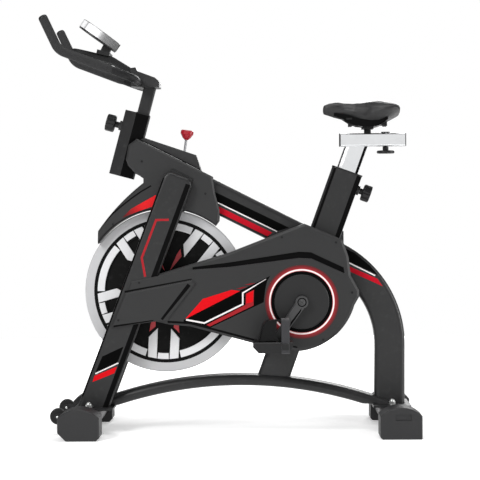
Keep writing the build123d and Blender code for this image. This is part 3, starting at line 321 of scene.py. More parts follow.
@dataclass(frozen=True)
class BrightPlate(Coating):
    """Chrome plate with a hint of the drawn tube's grain under it and a few faint smears."""

    tint: Colour = (0.83, 0.84, 0.86)
    rough: float = 0.16
    grain_along: Point3 = (14.0, 420.0, 420.0)

    def layers(self, book: NodeBook) -> bpy.types.Material:
        """Lays out the nodes."""
        smear = book.noise(16.0, 5.0).between(0.45, 0.75)
        grain = book.noise(1.0, 3.0, book.stretched(self.grain_along))
        colour = book.blend(smear * 0.4, self.tint, shade(self.tint, 0.9))
        rough = self.rough + smear * 0.07 + grain * 0.05
        return book.surface(colour, rough, 1.0, book.bump(grain, 0.00002, 0.35))


@dataclass(frozen=True)
class TurnedMetal(Coating):
    """Metal turned on a lathe: fine rings round an axis that runs along Y."""

    centre: Point2
    tint: Colour = (0.55, 0.55, 0.56)
    rough: float = 0.34
    pitch: float = 0.0011
    metallic: float = 1.0

    def layers(self, book: NodeBook) -> bpy.types.Material:
        """Lays out the nodes: ring height is the sine of the distance from the axis, broken up by noise."""
        radius = book.distance(self.centre)
        wobble = book.noise(120.0, 3.0) * 0.0009
        rings = ((radius + wobble) * (2 * math.pi / self.pitch)).sine() * 0.5 + 0.5
        cloud = book.noise(9.0, 5.0)
        colour = book.tones(rings * 0.35 + cloud * 0.3, self.tint, 0.88, 1.08)
        rough = self.rough + rings * 0.08 + cloud * 0.06
        return book.surface(colour, rough, self.metallic, book.bump(rings, 0.00003, 0.35))


@dataclass(frozen=True)
class Ink(Coating):
    """Printed film: a flat bright colour under a thin clear coat, with a slight mottle."""

    tint: Colour
    rough: float = 0.30
    gloss: float = 0.22
    fade: Colour | None = None
    fade_from: Point3 = (0.0, 0.0, 0.0)
    fade_to: Point3 = (1.0, 0.0, 0.0)

    def layers(self, book: NodeBook) -> bpy.types.Material:
        """Lays out the nodes; with a fade, the colour runs to another one between two points."""
        mottle = book.noise(260.0, 3.0)
        colour = book.tones(mottle, self.tint, 0.93, 1.05)
        if self.fade is not None:
            start, run = Vector(self.fade_from), Vector(self.fade_to) - Vector(self.fade_from)
            along = run / run.length_squared
            share = (book.axis(0) - start.x) * along.x + (book.axis(2) - start.z) * along.z
            colour = book.blend(share.between(0.0, 1.0), colour, self.fade)
        rough = self.rough + (mottle - 0.5) * 0.08
        return book.surface(colour, rough, normal=book.bump(mottle, 0.00002, 0.3),
                            Specular_IOR_Level=self.gloss)


@dataclass(frozen=True)
class HaloInk(Coating):
    """A printed ring that is white in its middle and deepens to red at its outer edge."""

    centre: Point2
    white_radius: float
    half: float
    rim: float

    def layers(self, book: NodeBook) -> bpy.types.Material:
        """Lays out the nodes: white falls off with the distance from the ring's middle line, and the red
        outside it darkens towards the rim."""
        radius = book.distance(self.centre)
        away = (radius - self.white_radius).size()
        mottle = book.noise(300.0, 2.0)
        red = book.blend(mottle, (0.25, 0.010, 0.015), (0.31, 0.013, 0.019))
        red = book.blend(radius.between(self.white_radius + self.half, self.rim), red, (0.10, 0.010, 0.012))
        pink = book.blend(away.between(self.half * 0.45, self.half * 0.9), (0.92, 0.84, 0.84), (0.80, 0.40, 0.40))
        colour = book.blend(away.between(self.half * 0.85, self.half * 1.2), pink, red)
        return book.surface(colour, 0.32 + (mottle - 0.5) * 0.08, Specular_IOR_Level=0.22)


@dataclass(frozen=True)
class FoamRubber(Coating):
    """Closed-cell foam: tiny pores over soft lumps."""

    tint: Colour = (0.015, 0.015, 0.0155)

    def layers(self, book: NodeBook) -> bpy.types.Material:
        """Lays out the nodes."""
        pores = book.cells(1300.0)
        lumps = book.noise(170.0, 4.0)
        colour = book.tones(pores.between(0.1, 0.6), self.tint, 0.5, 1.5)
        normal = book.bump(pores, 0.00018, 0.8, book.bump(lumps, 0.00035, 0.6))
        return book.surface(colour, 0.62 + lumps * 0.12, normal=normal, Specular_IOR_Level=0.3)


@dataclass(frozen=True)
class Leatherette(Coating):
    """Soft synthetic leather: a pebbled grain whose creases hold a little less light."""

    tint: Colour = (0.022, 0.022, 0.023)
    rough: float = 0.42

    def layers(self, book: NodeBook) -> bpy.types.Material:
        """Lays out the nodes."""
        warp = book.noise(220.0, 2.0) * 0.004
        where = book.node("ShaderNodeVectorMath", {"operation": "ADD"}, {0: book.place(), 1: warp})
        place = Signal(book, where.outputs[0])
        pebbles = book.cells(620.0, "DISTANCE_TO_EDGE", place)
        crease = pebbles.between(0.0, 0.16)
        worn = book.noise(18.0, 4.0)
        colour = book.tones(crease, self.tint, 0.55, 1.12)
        colour = book.blend(worn.between(0.5, 0.8) * 0.3, colour, shade(self.tint, 1.7))
        normal = book.bump(crease, 0.00016, 0.7, book.bump(worn, 0.0006, 0.3))
        return book.surface(colour, self.rough + (1.0 - crease) * 0.2 + (worn - 0.5) * 0.12, normal=normal)


@dataclass(frozen=True)
class Webbing(Coating):
    """Woven strap: two crossing sets of ribs, read along X and across Y and Z."""

    tint: Colour = (0.026, 0.026, 0.029)
    rib: float = 0.0016

    def layers(self, book: NodeBook) -> bpy.types.Material:
        """Lays out the nodes: rib height is the product of two sines half a rib apart."""
        turns = 2 * math.pi / self.rib
        warp = (book.axis(0) * turns).sine()
        weft = ((book.axis(1) + book.axis(2)) * turns).sine()
        weave = warp * weft * 0.5 + 0.5
        fuzz = book.noise(1800.0, 2.0)
        colour = book.tones(weave, self.tint, 0.6, 1.5)
        return book.surface(colour, 0.72 + fuzz * 0.15, normal=book.bump(weave * 0.8 + fuzz * 0.2, 0.0002, 0.7),
                            Sheen_Weight=0.1)


@dataclass(frozen=True)
class PressedFelt(Coating):
    """Wool felt for the brake pad."""

    tint: Colour = (0.20, 0.16, 0.12)

    def layers(self, book: NodeBook) -> bpy.types.Material:
        """Lays out the nodes."""
        fibres = book.noise(900.0, 6.0, book.stretched((1.0, 1.0, 3.0)))
        colour = book.tones(fibres, self.tint, 0.6, 1.3)
        return book.surface(colour, 0.9 + (fibres - 0.5) * 0.1, normal=book.bump(fibres, 0.0005, 0.8))


@dataclass(frozen=True)
class DisplayGlass(Coating):
    """A dark glossy console window with very faint dust."""

    tint: Colour = (0.010, 0.012, 0.013)

    def layers(self, book: NodeBook) -> bpy.types.Material:
        """Lays out the nodes."""
        dust = book.noise(420.0, 5.0).between(0.6, 0.8)
        colour = book.blend(dust * 0.15, self.tint, (0.12, 0.12, 0.12))
        return book.surface(colour, 0.10 + dust * 0.25, Coat_Weight=0.5, Coat_Roughness=0.04)


@dataclass(frozen=True)
class RimWithPaintedReflection(Coating):
    """Plated plastic rim of the round console with its reflections painted in: painted bright reflection bands at the
    front, painted dark reflection at the back, and painted shade along both edges.
    """

    centre: Point2
    tilt: float
    half: float
    across: float = 0.128
    # bands: painted reflection, as (share along the slope, grey level) pairs
    bands: tuple[Point2, ...] = ((0.0, 0.35), (0.05, 0.80), (0.13, 0.75), (0.17, 0.30), (0.21, 0.86),
                                 (0.50, 0.88), (0.60, 0.36), (0.68, 0.20), (0.92, 0.14), (1.0, 0.03))

    def layers(self, book: NodeBook) -> bpy.types.Material:
        """Lays out the nodes: painted reflection bands along the dial's slope, and painted shade past half its
        thickness either way, where the rim turns away.
        """
        across, up = book.axis(0) - self.centre[0], book.axis(2) - self.centre[1]
        along = across * math.cos(self.tilt) - up * math.sin(self.tilt)
        height = across * math.sin(self.tilt) + up * math.cos(self.tilt)
        share = along * (1.0 / self.across) + 0.5
        # painted reflection: grey levels set along the dial's slope
        stops = [(position, (value, value, value * 1.01)) for position, value in self.bands]
        ramp = book.node("ShaderNodeValToRGB", {"stops": stops}, {0: share})
        grain = book.noise(1.0, 3.0, book.stretched((60.0, 500.0, 60.0)))
        # painted shade on both edges of the rim
        edge = height.size().between(self.half - 0.0010, self.half)
        colour = book.blend(edge * 0.8, Signal(book, ramp.outputs[0]), (0.05, 0.05, 0.05))
        return book.surface(colour, 0.3 + grain * 0.06, normal=book.bump(grain, 0.00001, 0.3),
                            Specular_IOR_Level=0.3)


@dataclass(frozen=True)
class StudioFloor(Coating):
    """A plain pale studio floor."""

    tint: Colour = (0.90, 0.90, 0.90)
    glow_near: float = 0.34
    reach: float = 2.6

    def layers(self, book: NodeBook) -> bpy.types.Material:
        """Lays out the nodes: its faint glow rises to full white away from the bike, so no edge shows."""
        cloud = book.noise(0.8, 3.0)
        colour = book.blend(cloud, shade(self.tint, 0.99), self.tint)
        radius = book.distance((0.0, 0.0), (0, 1))
        glow = book.blend(radius.between(0.7, self.reach), shade((1.0, 1.0, 1.0), self.glow_near), (1.0, 1.0, 1.0))
        return book.surface(colour, 0.7 + (cloud - 0.5) * 0.1, Emission_Color=glow, Emission_Strength=1.0,
                            Specular_IOR_Level=0.0)


WHEEL_CENTRE: Point2 = (-189.5 * MM, 403.0 * MM)
CRANK_CENTRE: Point2 = (201.6 * MM, 372.3 * MM)
DIAL_CENTRE: Point2 = (-375.6 * MM, 1142.4 * MM)
DIAL_TILT = math.radians(35.8)


class Finish(Enum):
    """Every finish used on the bike and its surroundings."""

    FRAME = PowderCoat("frame_powder_coat")
    HARDWARE = PowderCoat("black_hardware", (0.009, 0.009, 0.0095), 0.56, 0.00004, 0.2)
    COVER = MouldedPlastic("cover_plastic")
    DISC = MouldedPlastic("disc_plastic", (0.014, 0.014, 0.0145), 0.42)
    # painted shade on strips, bands and facets, and also near-black plastic parts
    SHADOW = MouldedPlastic("dark_plastic_and_painted_shade", (0.0030, 0.0030, 0.0031), 0.55, 1500.0, 0.04)
    FEET = MouldedPlastic("foot_plastic", (0.026, 0.026, 0.027), 0.5, 1100.0)
    KNOB = MouldedPlastic("knob_plastic", (0.0085, 0.0085, 0.009), 0.38)
    CAGE = MouldedPlastic("toe_cage_nylon", (0.0050, 0.0050, 0.0052), 0.5, 1500.0, 0.15)
    CRANK = PowderCoat("crank_satin", (0.036, 0.036, 0.037), 0.30, 0.00003, 0.5)
    ROD = BrightPlate("rod_steel", (0.30, 0.30, 0.31), 0.38, (60.0, 60.0, 60.0))
    CHROME = BrightPlate("chrome_plate", (0.80, 0.81, 0.82))
    # painted highlight on the chrome post
    CHROME_PAINTED_HIGHLIGHT = Ink("chrome_painted_highlight", (0.95, 0.95, 0.95), 0.3)
    BARE_STEEL = TurnedMetal("turned_steel", CRANK_CENTRE, (0.56, 0.56, 0.57), 0.3)
    ZINC = BrightPlate("zinc_plate", (0.62, 0.63, 0.62), 0.32, (90.0, 90.0, 90.0))
    RIM = TurnedMetal("wheel_rim", WHEEL_CENTRE, (0.56, 0.56, 0.57), 0.5, 0.0012, 0.3)
    WEB = PowderCoat("wheel_web", (0.0025, 0.0025, 0.0025), 0.6, 0.00003, 0.12)
    ENAMEL = Ink("white_enamel", (0.76, 0.76, 0.77), 0.45, 0.1)
    RED = Ink("red_film", (0.70, 0.005, 0.010), 0.4, 0.05)
    BAND_RED = Ink("band_red_film", (0.47, 0.006, 0.018), 0.4, 0.05)
    DARK_RED = Ink("dark_red_film", (0.24, 0.012, 0.016), 0.4, 0.05)
    DEEP_RED = Ink("deep_red_film", (0.36, 0.020, 0.026), 0.4, 0.05)
    SLIVER_RED = Ink("sliver_red_enamel", (0.50, 0.055, 0.065), 0.38, 0.2)
    BLACK = Ink("black_film", (0.0016, 0.0016, 0.0016), 0.5, 0.03)
    WHITE = Ink("white_film", (0.84, 0.80, 0.80))
    FENDER_RED = Ink("fender_red_film", (0.75, 0.008, 0.012), 0.32, 0.2, (0.10, 0.006, 0.008),
                     (-0.240, 0.0, 0.655), (-0.310, 0.0, 0.618))
    HALO = HaloInk("crank_halo", CRANK_CENTRE, 91.2 * MM, 2.5 * MM, 105.5 * MM)
    RED_PLASTIC = Ink("red_knob", (0.34, 0.010, 0.020), 0.28, 0.4)
    FOAM = FoamRubber("grip_foam")
    SADDLE = Leatherette("saddle_leatherette", (0.0105, 0.0105, 0.011), 0.32)
    RUBBER = MouldedPlastic("wheel_rubber", (0.012, 0.012, 0.012), 0.7, 700.0)
    WEBBING = Webbing("strap_webbing")
    FELT = PressedFelt("brake_felt")
    SILVER = Ink("silver_button", (0.66, 0.66, 0.68), 0.26)
    # the console rim's painted reflections and painted edge shade
    RIM_PAINTED_REFLECTION = RimWithPaintedReflection("console_rim_painted_reflection", DIAL_CENTRE, DIAL_TILT, 12.6 * MM)
    GLASS = DisplayGlass("console_glass")
    LCD = Ink("lcd_panel", (0.30, 0.34, 0.28), 0.2)
    FLOOR = StudioFloor("studio_floor")


_MADE: dict[Finish, bpy.types.Material] = {}


def material(finish: Finish) -> bpy.types.Material:
    """The material of a finish, made once."""
    if finish not in _MADE:
        _MADE[finish] = finish.value.make()
    return _MADE[finish]


# ---------------------------------------------------------------- mesh drafting
def ring_faces(rows: int, columns: int, closed_rows: bool = False) -> list[list[int]]:
    """Quads between neighbouring rings of points; each ring's own points close round.

    Args:
        rows: rings.
        columns: points in each ring.
        closed_rows: whether the last ring joins the first.

    Returns:
        Faces as lists of point numbers: row * columns + column.
    """
    last = rows if closed_rows else rows - 1
    row, column = np.meshgrid(np.arange(last), np.arange(columns), indexing="ij")
    next_row, next_column = (row + 1) % rows, (column + 1) % columns
    quads = np.stack([row * columns + column, row * columns + next_column,
                      next_row * columns + next_column, next_row * columns + column], axis=-1)
    return quads.reshape(-1, 4).tolist()


@dataclass
class Draft:
    """Points and faces on their way to becoming a piece."""

    points: Array
    faces: list[list[int]]

    def __add__(self, other: "Draft") -> "Draft":
        """Both drafts side by side; the second one's point numbers move up."""
        shift = len(self.points)
        moved = [[index + shift for index in face] for face in other.faces]
        return Draft(np.vstack([self.points, other.points]), self.faces + moved)

    def doubled(self) -> "Draft":
        """The draft and its mirror image on the other side of the bike."""
        return self + Draft(self.points * np.array([1.0, -1.0, 1.0]), self.faces)

    def piece(self, name: str, finish: Finish, body: str, slot: str, crease: float = 30.0) -> bpy.types.Object:
        """Makes the object, with its faces outward, and sets it to ride on a body.

        Args:
            name: the piece's name.
            finish: what it is coated with.
            body: the body it moves with.
            slot: the record's material slot; not used.
            crease: edges sharper than this stay sharp, in degrees.

        Returns:
            The object.
        """
        mesh = bpy.data.meshes.new(name)
        mesh.from_pydata(self.points.tolist(), [], self.faces)
        work = bmesh.new()
        work.from_mesh(mesh)
        bmesh.ops.remove_doubles(work, verts=work.verts, dist=1e-6)
        bmesh.ops.recalc_face_normals(work, faces=work.faces)
        work.to_mesh(mesh)
        work.free()
        obj = bpy.data.objects.new(name, mesh)
        bpy.context.scene.collection.objects.link(obj)
        mesh.materials.append(material(finish))
        smooth(obj, crease)
        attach(obj, body)
        LOG.info("built %s", name)
        return obj


def smooth(obj: bpy.types.Object, crease: float) -> None:
    """Smooth shading that keeps edges sharper than an angle.

    Args:
        obj: the object.
        crease: the angle in degrees.
    """
    mesh = obj.data
    mesh.polygons.foreach_set("use_smooth", np.ones(len(mesh.polygons), dtype=bool))
    work = bmesh.new()
    work.from_mesh(mesh)
    limit = math.radians(crease)
    for edge in work.edges:
        edge.smooth = not (len(edge.link_faces) == 2 and edge.calc_face_angle(0.0) > limit)
    work.to_mesh(mesh)
    work.free()


def lofted(rings: Array, closed: bool = False) -> Draft:
    """A skin through closed rings of points.

    Args:
        rings: (rings, points, 3).
        closed: whether the last ring joins the first; otherwise both ends get flat faces.

    Returns:
        The draft.
    """
    rows, columns = rings.shape[:2]
    faces = ring_faces(rows, columns, closed)
    if not closed:
        faces.append(list(range(columns))[::-1])
        faces.append([(rows - 1) * columns + index for index in range(columns)])
    return Draft(rings.reshape(-1, 3), faces)


def joined(drafts: Sequence[Draft]) -> Draft:
    """All the drafts side by side, in their order."""
    return reduce(add, drafts)


def around_y(centre: Point2, profile: Array, turn: Array, closed: bool) -> Draft:
    """A profile carried round an axis along Y: x and z are the centre plus radius times cos t and sin t.

    Args:
        centre: (x, z) of the axis.
        profile: (n, 2) pairs of radius and y.
        turn: angles t from +X towards +Z.
        closed: whether it goes all the way round.

    Returns:
        The draft.
    """
    x = centre[0] + np.cos(turn)[:, None] * profile[None, :, 0]
    z = centre[1] + np.sin(turn)[:, None] * profile[None, :, 0]
    y = np.broadcast_to(profile[None, :, 1], x.shape)
    return lofted(np.stack([x, y, z], axis=-1), closed)


def swept(path: Array, profile: Array, hint: Point3, scales: Array | None = None,
          closed: bool = False) -> Draft:
    """A profile carried along a path.

    Point = path + side * u + up * v, where side is the part of hint square to the path's direction and up is
    the direction crossed with side.

    Args:
        path: (n, 3) points.
        profile: (k, 2) points u, v.
        hint: a direction that is never along the path.
        scales: (n,) size of the profile at each point; 1 if left out.
        closed: whether the path joins its own start.

    Returns:
        The draft.
    """
    if closed:
        along = np.roll(path, -1, axis=0) - np.roll(path, 1, axis=0)
    else:
        along = np.gradient(path, axis=0)
    along /= np.linalg.norm(along, axis=1, keepdims=True)
    side = np.array(hint) - along * (along @ np.array(hint))[:, None]
    side /= np.linalg.norm(side, axis=1, keepdims=True)
    up = np.cross(along, side)
    size = np.ones(len(path)) if scales is None else scales
    rings = (path[:, None, :] + side[:, None, :] * (profile[None, :, 0] * size[:, None])[..., None]
             + up[:, None, :] * (profile[None, :, 1] * size[:, None])[..., None])
    return lofted(rings, closed)


def circle(radius: float, sides: int) -> Array:
    """Points round a circle: (radius cos t, radius sin t)."""
    turn = np.linspace(0.0, 2 * math.pi, sides, endpoint=False)
    return np.stack([radius * np.cos(turn), radius * np.sin(turn)], axis=1)


def rounded_box(width: float, height: float, radius: float, steps: int = 5) -> Array:
    """A rounded rectangle: four quarter circles about inset corners.

    Args:
        width: size along u.
        height: size along v.
        radius: corner radius.
        steps: points in each corner.

    Returns:
        (4 * steps, 2) points.
    """
    turn = np.linspace(0.0, math.pi / 2, steps)
    turns = (turn[None, :] + np.arange(4)[:, None] * math.pi / 2).ravel()
    signs = np.array([[1, 1], [-1, 1], [-1, -1], [1, -1]], dtype=float).repeat(steps, axis=0)
    centres = signs * np.array([width / 2 - radius, height / 2 - radius])
    return centres + radius * np.stack([np.cos(turns), np.sin(turns)], axis=1)


def bend(points: Sequence[Sequence[float]], radii: Sequence[float], steps: int = 10,
         run: float = 0.02) -> Array:
    """A path of straight runs joined by arcs tangent to both.

    At each inner corner the arc's centre lies on the corner's bisector, and the straight runs are cut into
    pieces no longer than run.

    Args:
        points: the corners.
        radii: one radius for each inner corner.
        steps: points in each arc.
        run: longest piece of a straight run, in metres.

    Returns:
        (n, 3) points.
    """
    corners = np.array(points, dtype=float)
    stretches = [corners[:1]]
    for index, radius in enumerate(radii, start=1):
        here = corners[index]
        back = corners[index - 1] - here
        ahead = corners[index + 1] - here
        back /= np.linalg.norm(back)
        ahead /= np.linalg.norm(ahead)
        half = math.acos(float(np.clip(back @ ahead, -1, 1))) / 2
        middle = (back + ahead) / np.linalg.norm(back + ahead)
        centre = here + middle * radius / math.sin(half)
        start = here + back * radius / math.tan(half) - centre
        stop = here + ahead * radius / math.tan(half) - centre
        sweep_angle = math.pi - 2 * half
        share = np.linspace(0.0, 1.0, steps)[:, None]
        arc = (start * np.sin((1 - share) * sweep_angle) + stop * np.sin(share * sweep_angle)) / math.sin(sweep_angle)
        stretches.append(centre + arc)
    stretches.append(corners[-1:])
    full = [stretches[0]]
    for stretch in stretches[1:]:
        gap = stretch[0] - full[-1][-1]
        pieces = max(1, int(np.linalg.norm(gap) / run))
        share = (np.arange(1, pieces) / pieces)[:, None]
        full.append(full[-1][-1] + share * gap)
        full.append(stretch)
    return np.vstack(full)


def inset(outline: Array, distance: float) -> Array:
    """An outline moved inward along each corner's bisector.

    Each corner moves by the two neighbouring edges' inward normals added and divided by one plus their dot
    product, times the distance.

    Args:
        outline: (k, 2) points.
        distance: how far each edge moves.

    Returns:
        (k, 2) points.
    """
    ahead = np.roll(outline, -1, axis=0) - outline
    area = float(np.sum(outline[:, 0] * np.roll(outline[:, 1], -1) - np.roll(outline[:, 0], -1) * outline[:, 1]))
    ahead /= np.linalg.norm(ahead, axis=1, keepdims=True)
    normal = np.stack([-ahead[:, 1], ahead[:, 0]], axis=1) * (1.0 if area > 0 else -1.0)
    before = np.roll(normal, 1, axis=0)
    share = 1.0 + np.sum(normal * before, axis=1, keepdims=True)
    return outline + distance * (normal + before) / np.maximum(share, 0.25)


def plate(outline: Sequence[Point2] | Array, back: float, front: float, bevel: float) -> Draft:
    """A flat plate in the XZ plane with a bevelled front edge.

    Three rings: the outline at the back, the outline a bevel short of the front, and the outline inset by the
    bevel at the front.

    Args:
        outline: (x, z) corners.
        back: y of the hidden side.
        front: y of the seen side.
        bevel: width of the bevel.

    Returns:
        The draft.
    """
    flat = np.array(outline, dtype=float)
    toward = 1.0 if front > back else -1.0

    def at(shape: Array, y: float) -> Array:
        """The outline as points at one y."""
        return np.stack([shape[:, 0], np.full(len(shape), y), shape[:, 1]], axis=1)

    return lofted(np.stack([at(flat, back), at(flat, front - toward * bevel), at(inset(flat, bevel), front)]))


def arc_plate(centre: Point2, inner: float, outer: float, start: float, stop: float, back: float,
              front: float, bevel: float, steps: int = 24) -> Draft:
    """A plate between two arcs; a full turn makes a ring.

    Args:
        centre: (x, z) of the arcs.
        inner: inner radius.
        outer: outer radius.
        start: start angle from +X towards +Z, in degrees.
        stop: stop angle, in degrees.
        back: y of the hidden side.
        front: y of the seen side.
        bevel: width of the bevel.
        steps: stations along the arc.

    Returns:
        The draft.
    """
    toward = 1.0 if front > back else -1.0
    profile = np.array([[inner, back], [inner, front - toward * bevel], [inner + bevel, front],
                        [outer - bevel, front], [outer, front - toward * bevel], [outer, back]])
    full = abs(stop - start) >= 360.0
    turn = np.radians(np.linspace(start, stop, steps, endpoint=not full))
    return around_y(centre, profile, turn, full)


def turned(profile: Array, origin: Array, direction: Array, sides: int = 48) -> Draft:
    """A profile turned about an axis.

    Point = origin + direction * h + (u cos t + v sin t) * r, with u and v square to the direction.

    Args:
        profile: (n, 2) pairs of radius and height.
        origin: a point on the axis.
        direction: the axis.
        sides: points round.

    Returns:
        The draft.
    """
    axis = direction / np.linalg.norm(direction)
    helper = np.array([0.0, 1.0, 0.0]) if abs(axis[1]) < 0.9 else np.array([1.0, 0.0, 0.0])
    first = np.cross(axis, helper)
    first /= np.linalg.norm(first)
    second = np.cross(axis, first)
    turn = np.linspace(0.0, 2 * math.pi, sides, endpoint=False)
    round_ = np.cos(turn)[:, None] * first + np.sin(turn)[:, None] * second
    rings = origin + axis * profile[:, 1, None, None] + round_[None] * profile[:, 0, None, None]
    return lofted(rings)


def mm(points: Sequence[Sequence[float]]) -> list[tuple[float, ...]]:
    """Points given in millimetres, in metres."""
    return [tuple(value * MM for value in point) for point in points]


def dress(finishes: dict[Finish, Sequence[str]]) -> None:
    """Coats mechanical pieces.

    Args:
        finishes: the finish, and the nodes that have it.
    """
    for finish, nodes in finishes.items():
        for node in nodes:
            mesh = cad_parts[node].data
            mesh.materials.clear()
            mesh.materials.append(material(finish))
            LOG.info("dressed %s in %s", node, finish.name.lower())


# ---------------------------------------------------------------- sub-assemblies
@dataclass
class Film:
    """One flat sheet on a side of the bike; it carries print, painted shade, painted highlights and painted
    reflections.
    """

    name: str
    finish: Finish
    outline: Sequence[Point2]
    face: float
    body: str = "frame"
    lift: float = 0.35 * MM
    both_sides: bool = False

    def make(self) -> None:
        """Lays the film on its face, and its twin on the far side where there is one."""
        draft = plate(mm(self.outline), self.face, self.face - self.lift, 0.12 * MM)
        if self.both_sides:
            draft = draft.doubled()
        draft.piece(self.name, self.finish, self.body, "black_plastic")


def stripe(points: Sequence[Point2], width: float, tail: float = 1.0) -> list[Point2]:
    """The outline of a line of even width through points, with mitred corners.

    Args:
        points: (x, z) corners of the middle line, in millimetres.
        width: width in millimetres.
        tail: share of the width left at the last point.

    Returns:
        The outline's corners, out along one side and back along the other.
    """
    line = np.array(points, dtype=float)
    ahead = np.diff(line, axis=0)
    ahead /= np.linalg.norm(ahead, axis=1, keepdims=True)
    normal = np.stack([-ahead[:, 1], ahead[:, 0]], axis=1)
    before = np.vstack([normal[:1], normal])
    after = np.vstack([normal, normal[-1:]])
    mitre = (before + after) / (1.0 + np.sum(before * after, axis=1, keepdims=True))
    half = np.full((len(line), 1), width / 2)
    half[-1] *= tail
    return [tuple(p) for p in np.vstack([line + mitre * half, (line - mitre * half)[::-1]])]


@dataclass
class Flywheel:
    """The white spokes, ring blocks and red slivers on both faces of the wheel."""

    centre: Point2 = WHEEL_CENTRE
    spoke_angles: tuple[float, ...] = (51.0, 123.0, 195.0, 267.0, 339.0)
    spacing: float = 72.0
    bar_inner: float = 18.5 * MM
    bar_outer: float = 44.5 * MM
    bar_tip: float = 109.0 * MM
    bar_shoulder: float = 136.0 * MM
    ring_inner: float = 177.5 * MM
    block_inner: float = 181.0 * MM
    ring_outer: float = 198.4 * MM
    web: float = 5.0 * MM
    ledge: float = 10.5 * MM
    front: float = 12.0 * MM
    band_steps: int = 192

    def _local(self, angle: float, pairs: Sequence[Point2], sign: float) -> Array:
        """Points given along and across a spoke pair, in the wheel's plane."""
        turn = math.radians(angle)
        along = np.array([math.cos(turn), math.sin(turn)])
        across = np.array([-math.sin(turn), math.cos(turn)]) * sign
        flat = np.array(pairs)
        return np.array(self.centre) + flat[:, :1] * along + flat[:, 1:] * across

    def _bar(self, angle: float, sign: float) -> Draft:
        """One spoke bar: straight sides, a slanted point towards the hub and an arc at the rim."""
        across = np.linspace(self.bar_outer, self.bar_inner, 5)
        rim = np.stack([np.sqrt(self.ring_outer ** 2 - across ** 2), across], axis=1)
        pairs = [(self.bar_tip, self.bar_inner + 0.8 * MM), (self.bar_shoulder, self.bar_outer),
                 *map(tuple, rim)]
        return plate(self._local(angle, pairs, sign), -self.web + 0.5 * MM, -self.front, 1.0 * MM)

    def _sliver(self, angle: float, sign: float) -> Draft:
        """The thin red blade beside a bar's point."""
        pairs = mm([(50, 28), (101, 41.5), (121, 43.5), (105.5, 26.5)])
        return plate(self._local(angle, pairs, sign), -self.web + 0.5 * MM, -self.front + 3.5 * MM, 0.6 * MM)

    def make(self) -> None:
        """Builds the trim of the near face, mirrors it, and coats the wheel."""
        wide = math.degrees(math.asin(self.bar_outer / self.ring_inner)) + 0.6
        narrow = math.degrees(math.asin(self.bar_inner / self.ring_inner)) - 1.2
        sides = [(angle, sign) for angle in self.spoke_angles for sign in (-1.0, 1.0)]
        bars, slivers = [self._bar(*side) for side in sides], [self._sliver(*side) for side in sides]
        blocks = [arc_plate(self.centre, inner, self.ring_outer, angle + start, angle + stop,
                            -self.ledge + 0.5 * MM, -self.front, 0.8 * MM, steps)
                  for angle in self.spoke_angles
                  for inner, start, stop, steps in ((self.block_inner, -narrow, narrow, 8),
                                                    (self.ring_inner, wide, self.spacing - wide, 24))]
        for name, drafts, finish in (("wheel_ring_blocks", blocks, Finish.ENAMEL),
                                     ("wheel_spoke_bars", bars, Finish.ENAMEL),
                                     ("wheel_red_slivers", slivers, Finish.SLIVER_RED)):
            joined(drafts).doubled().piece(name, finish, "flywheel", "iron")
        self._edge_band()

    def _edge_band(self) -> None:
        """The turned rim band on both faces and round the tread, over the black wheel."""
        outer, inner, half = 234.2 * MM, 208.0 * MM, 13.15 * MM
        profile = np.array([[inner, -half + 0.5 * MM], [inner + 0.4 * MM, -half], [outer - 2.2 * MM, -half],
                            [outer, -half + 2.2 * MM], [outer, half - 2.2 * MM], [outer - 2.2 * MM, half],
                            [inner + 0.4 * MM, half], [inner, half - 0.5 * MM]])
        turn = np.linspace(0.0, 2 * math.pi, self.band_steps, endpoint=False)
        band = around_y(self.centre, profile, turn, True)
        band.piece("wheel_rim_band", Finish.RIM, "flywheel", "iron")


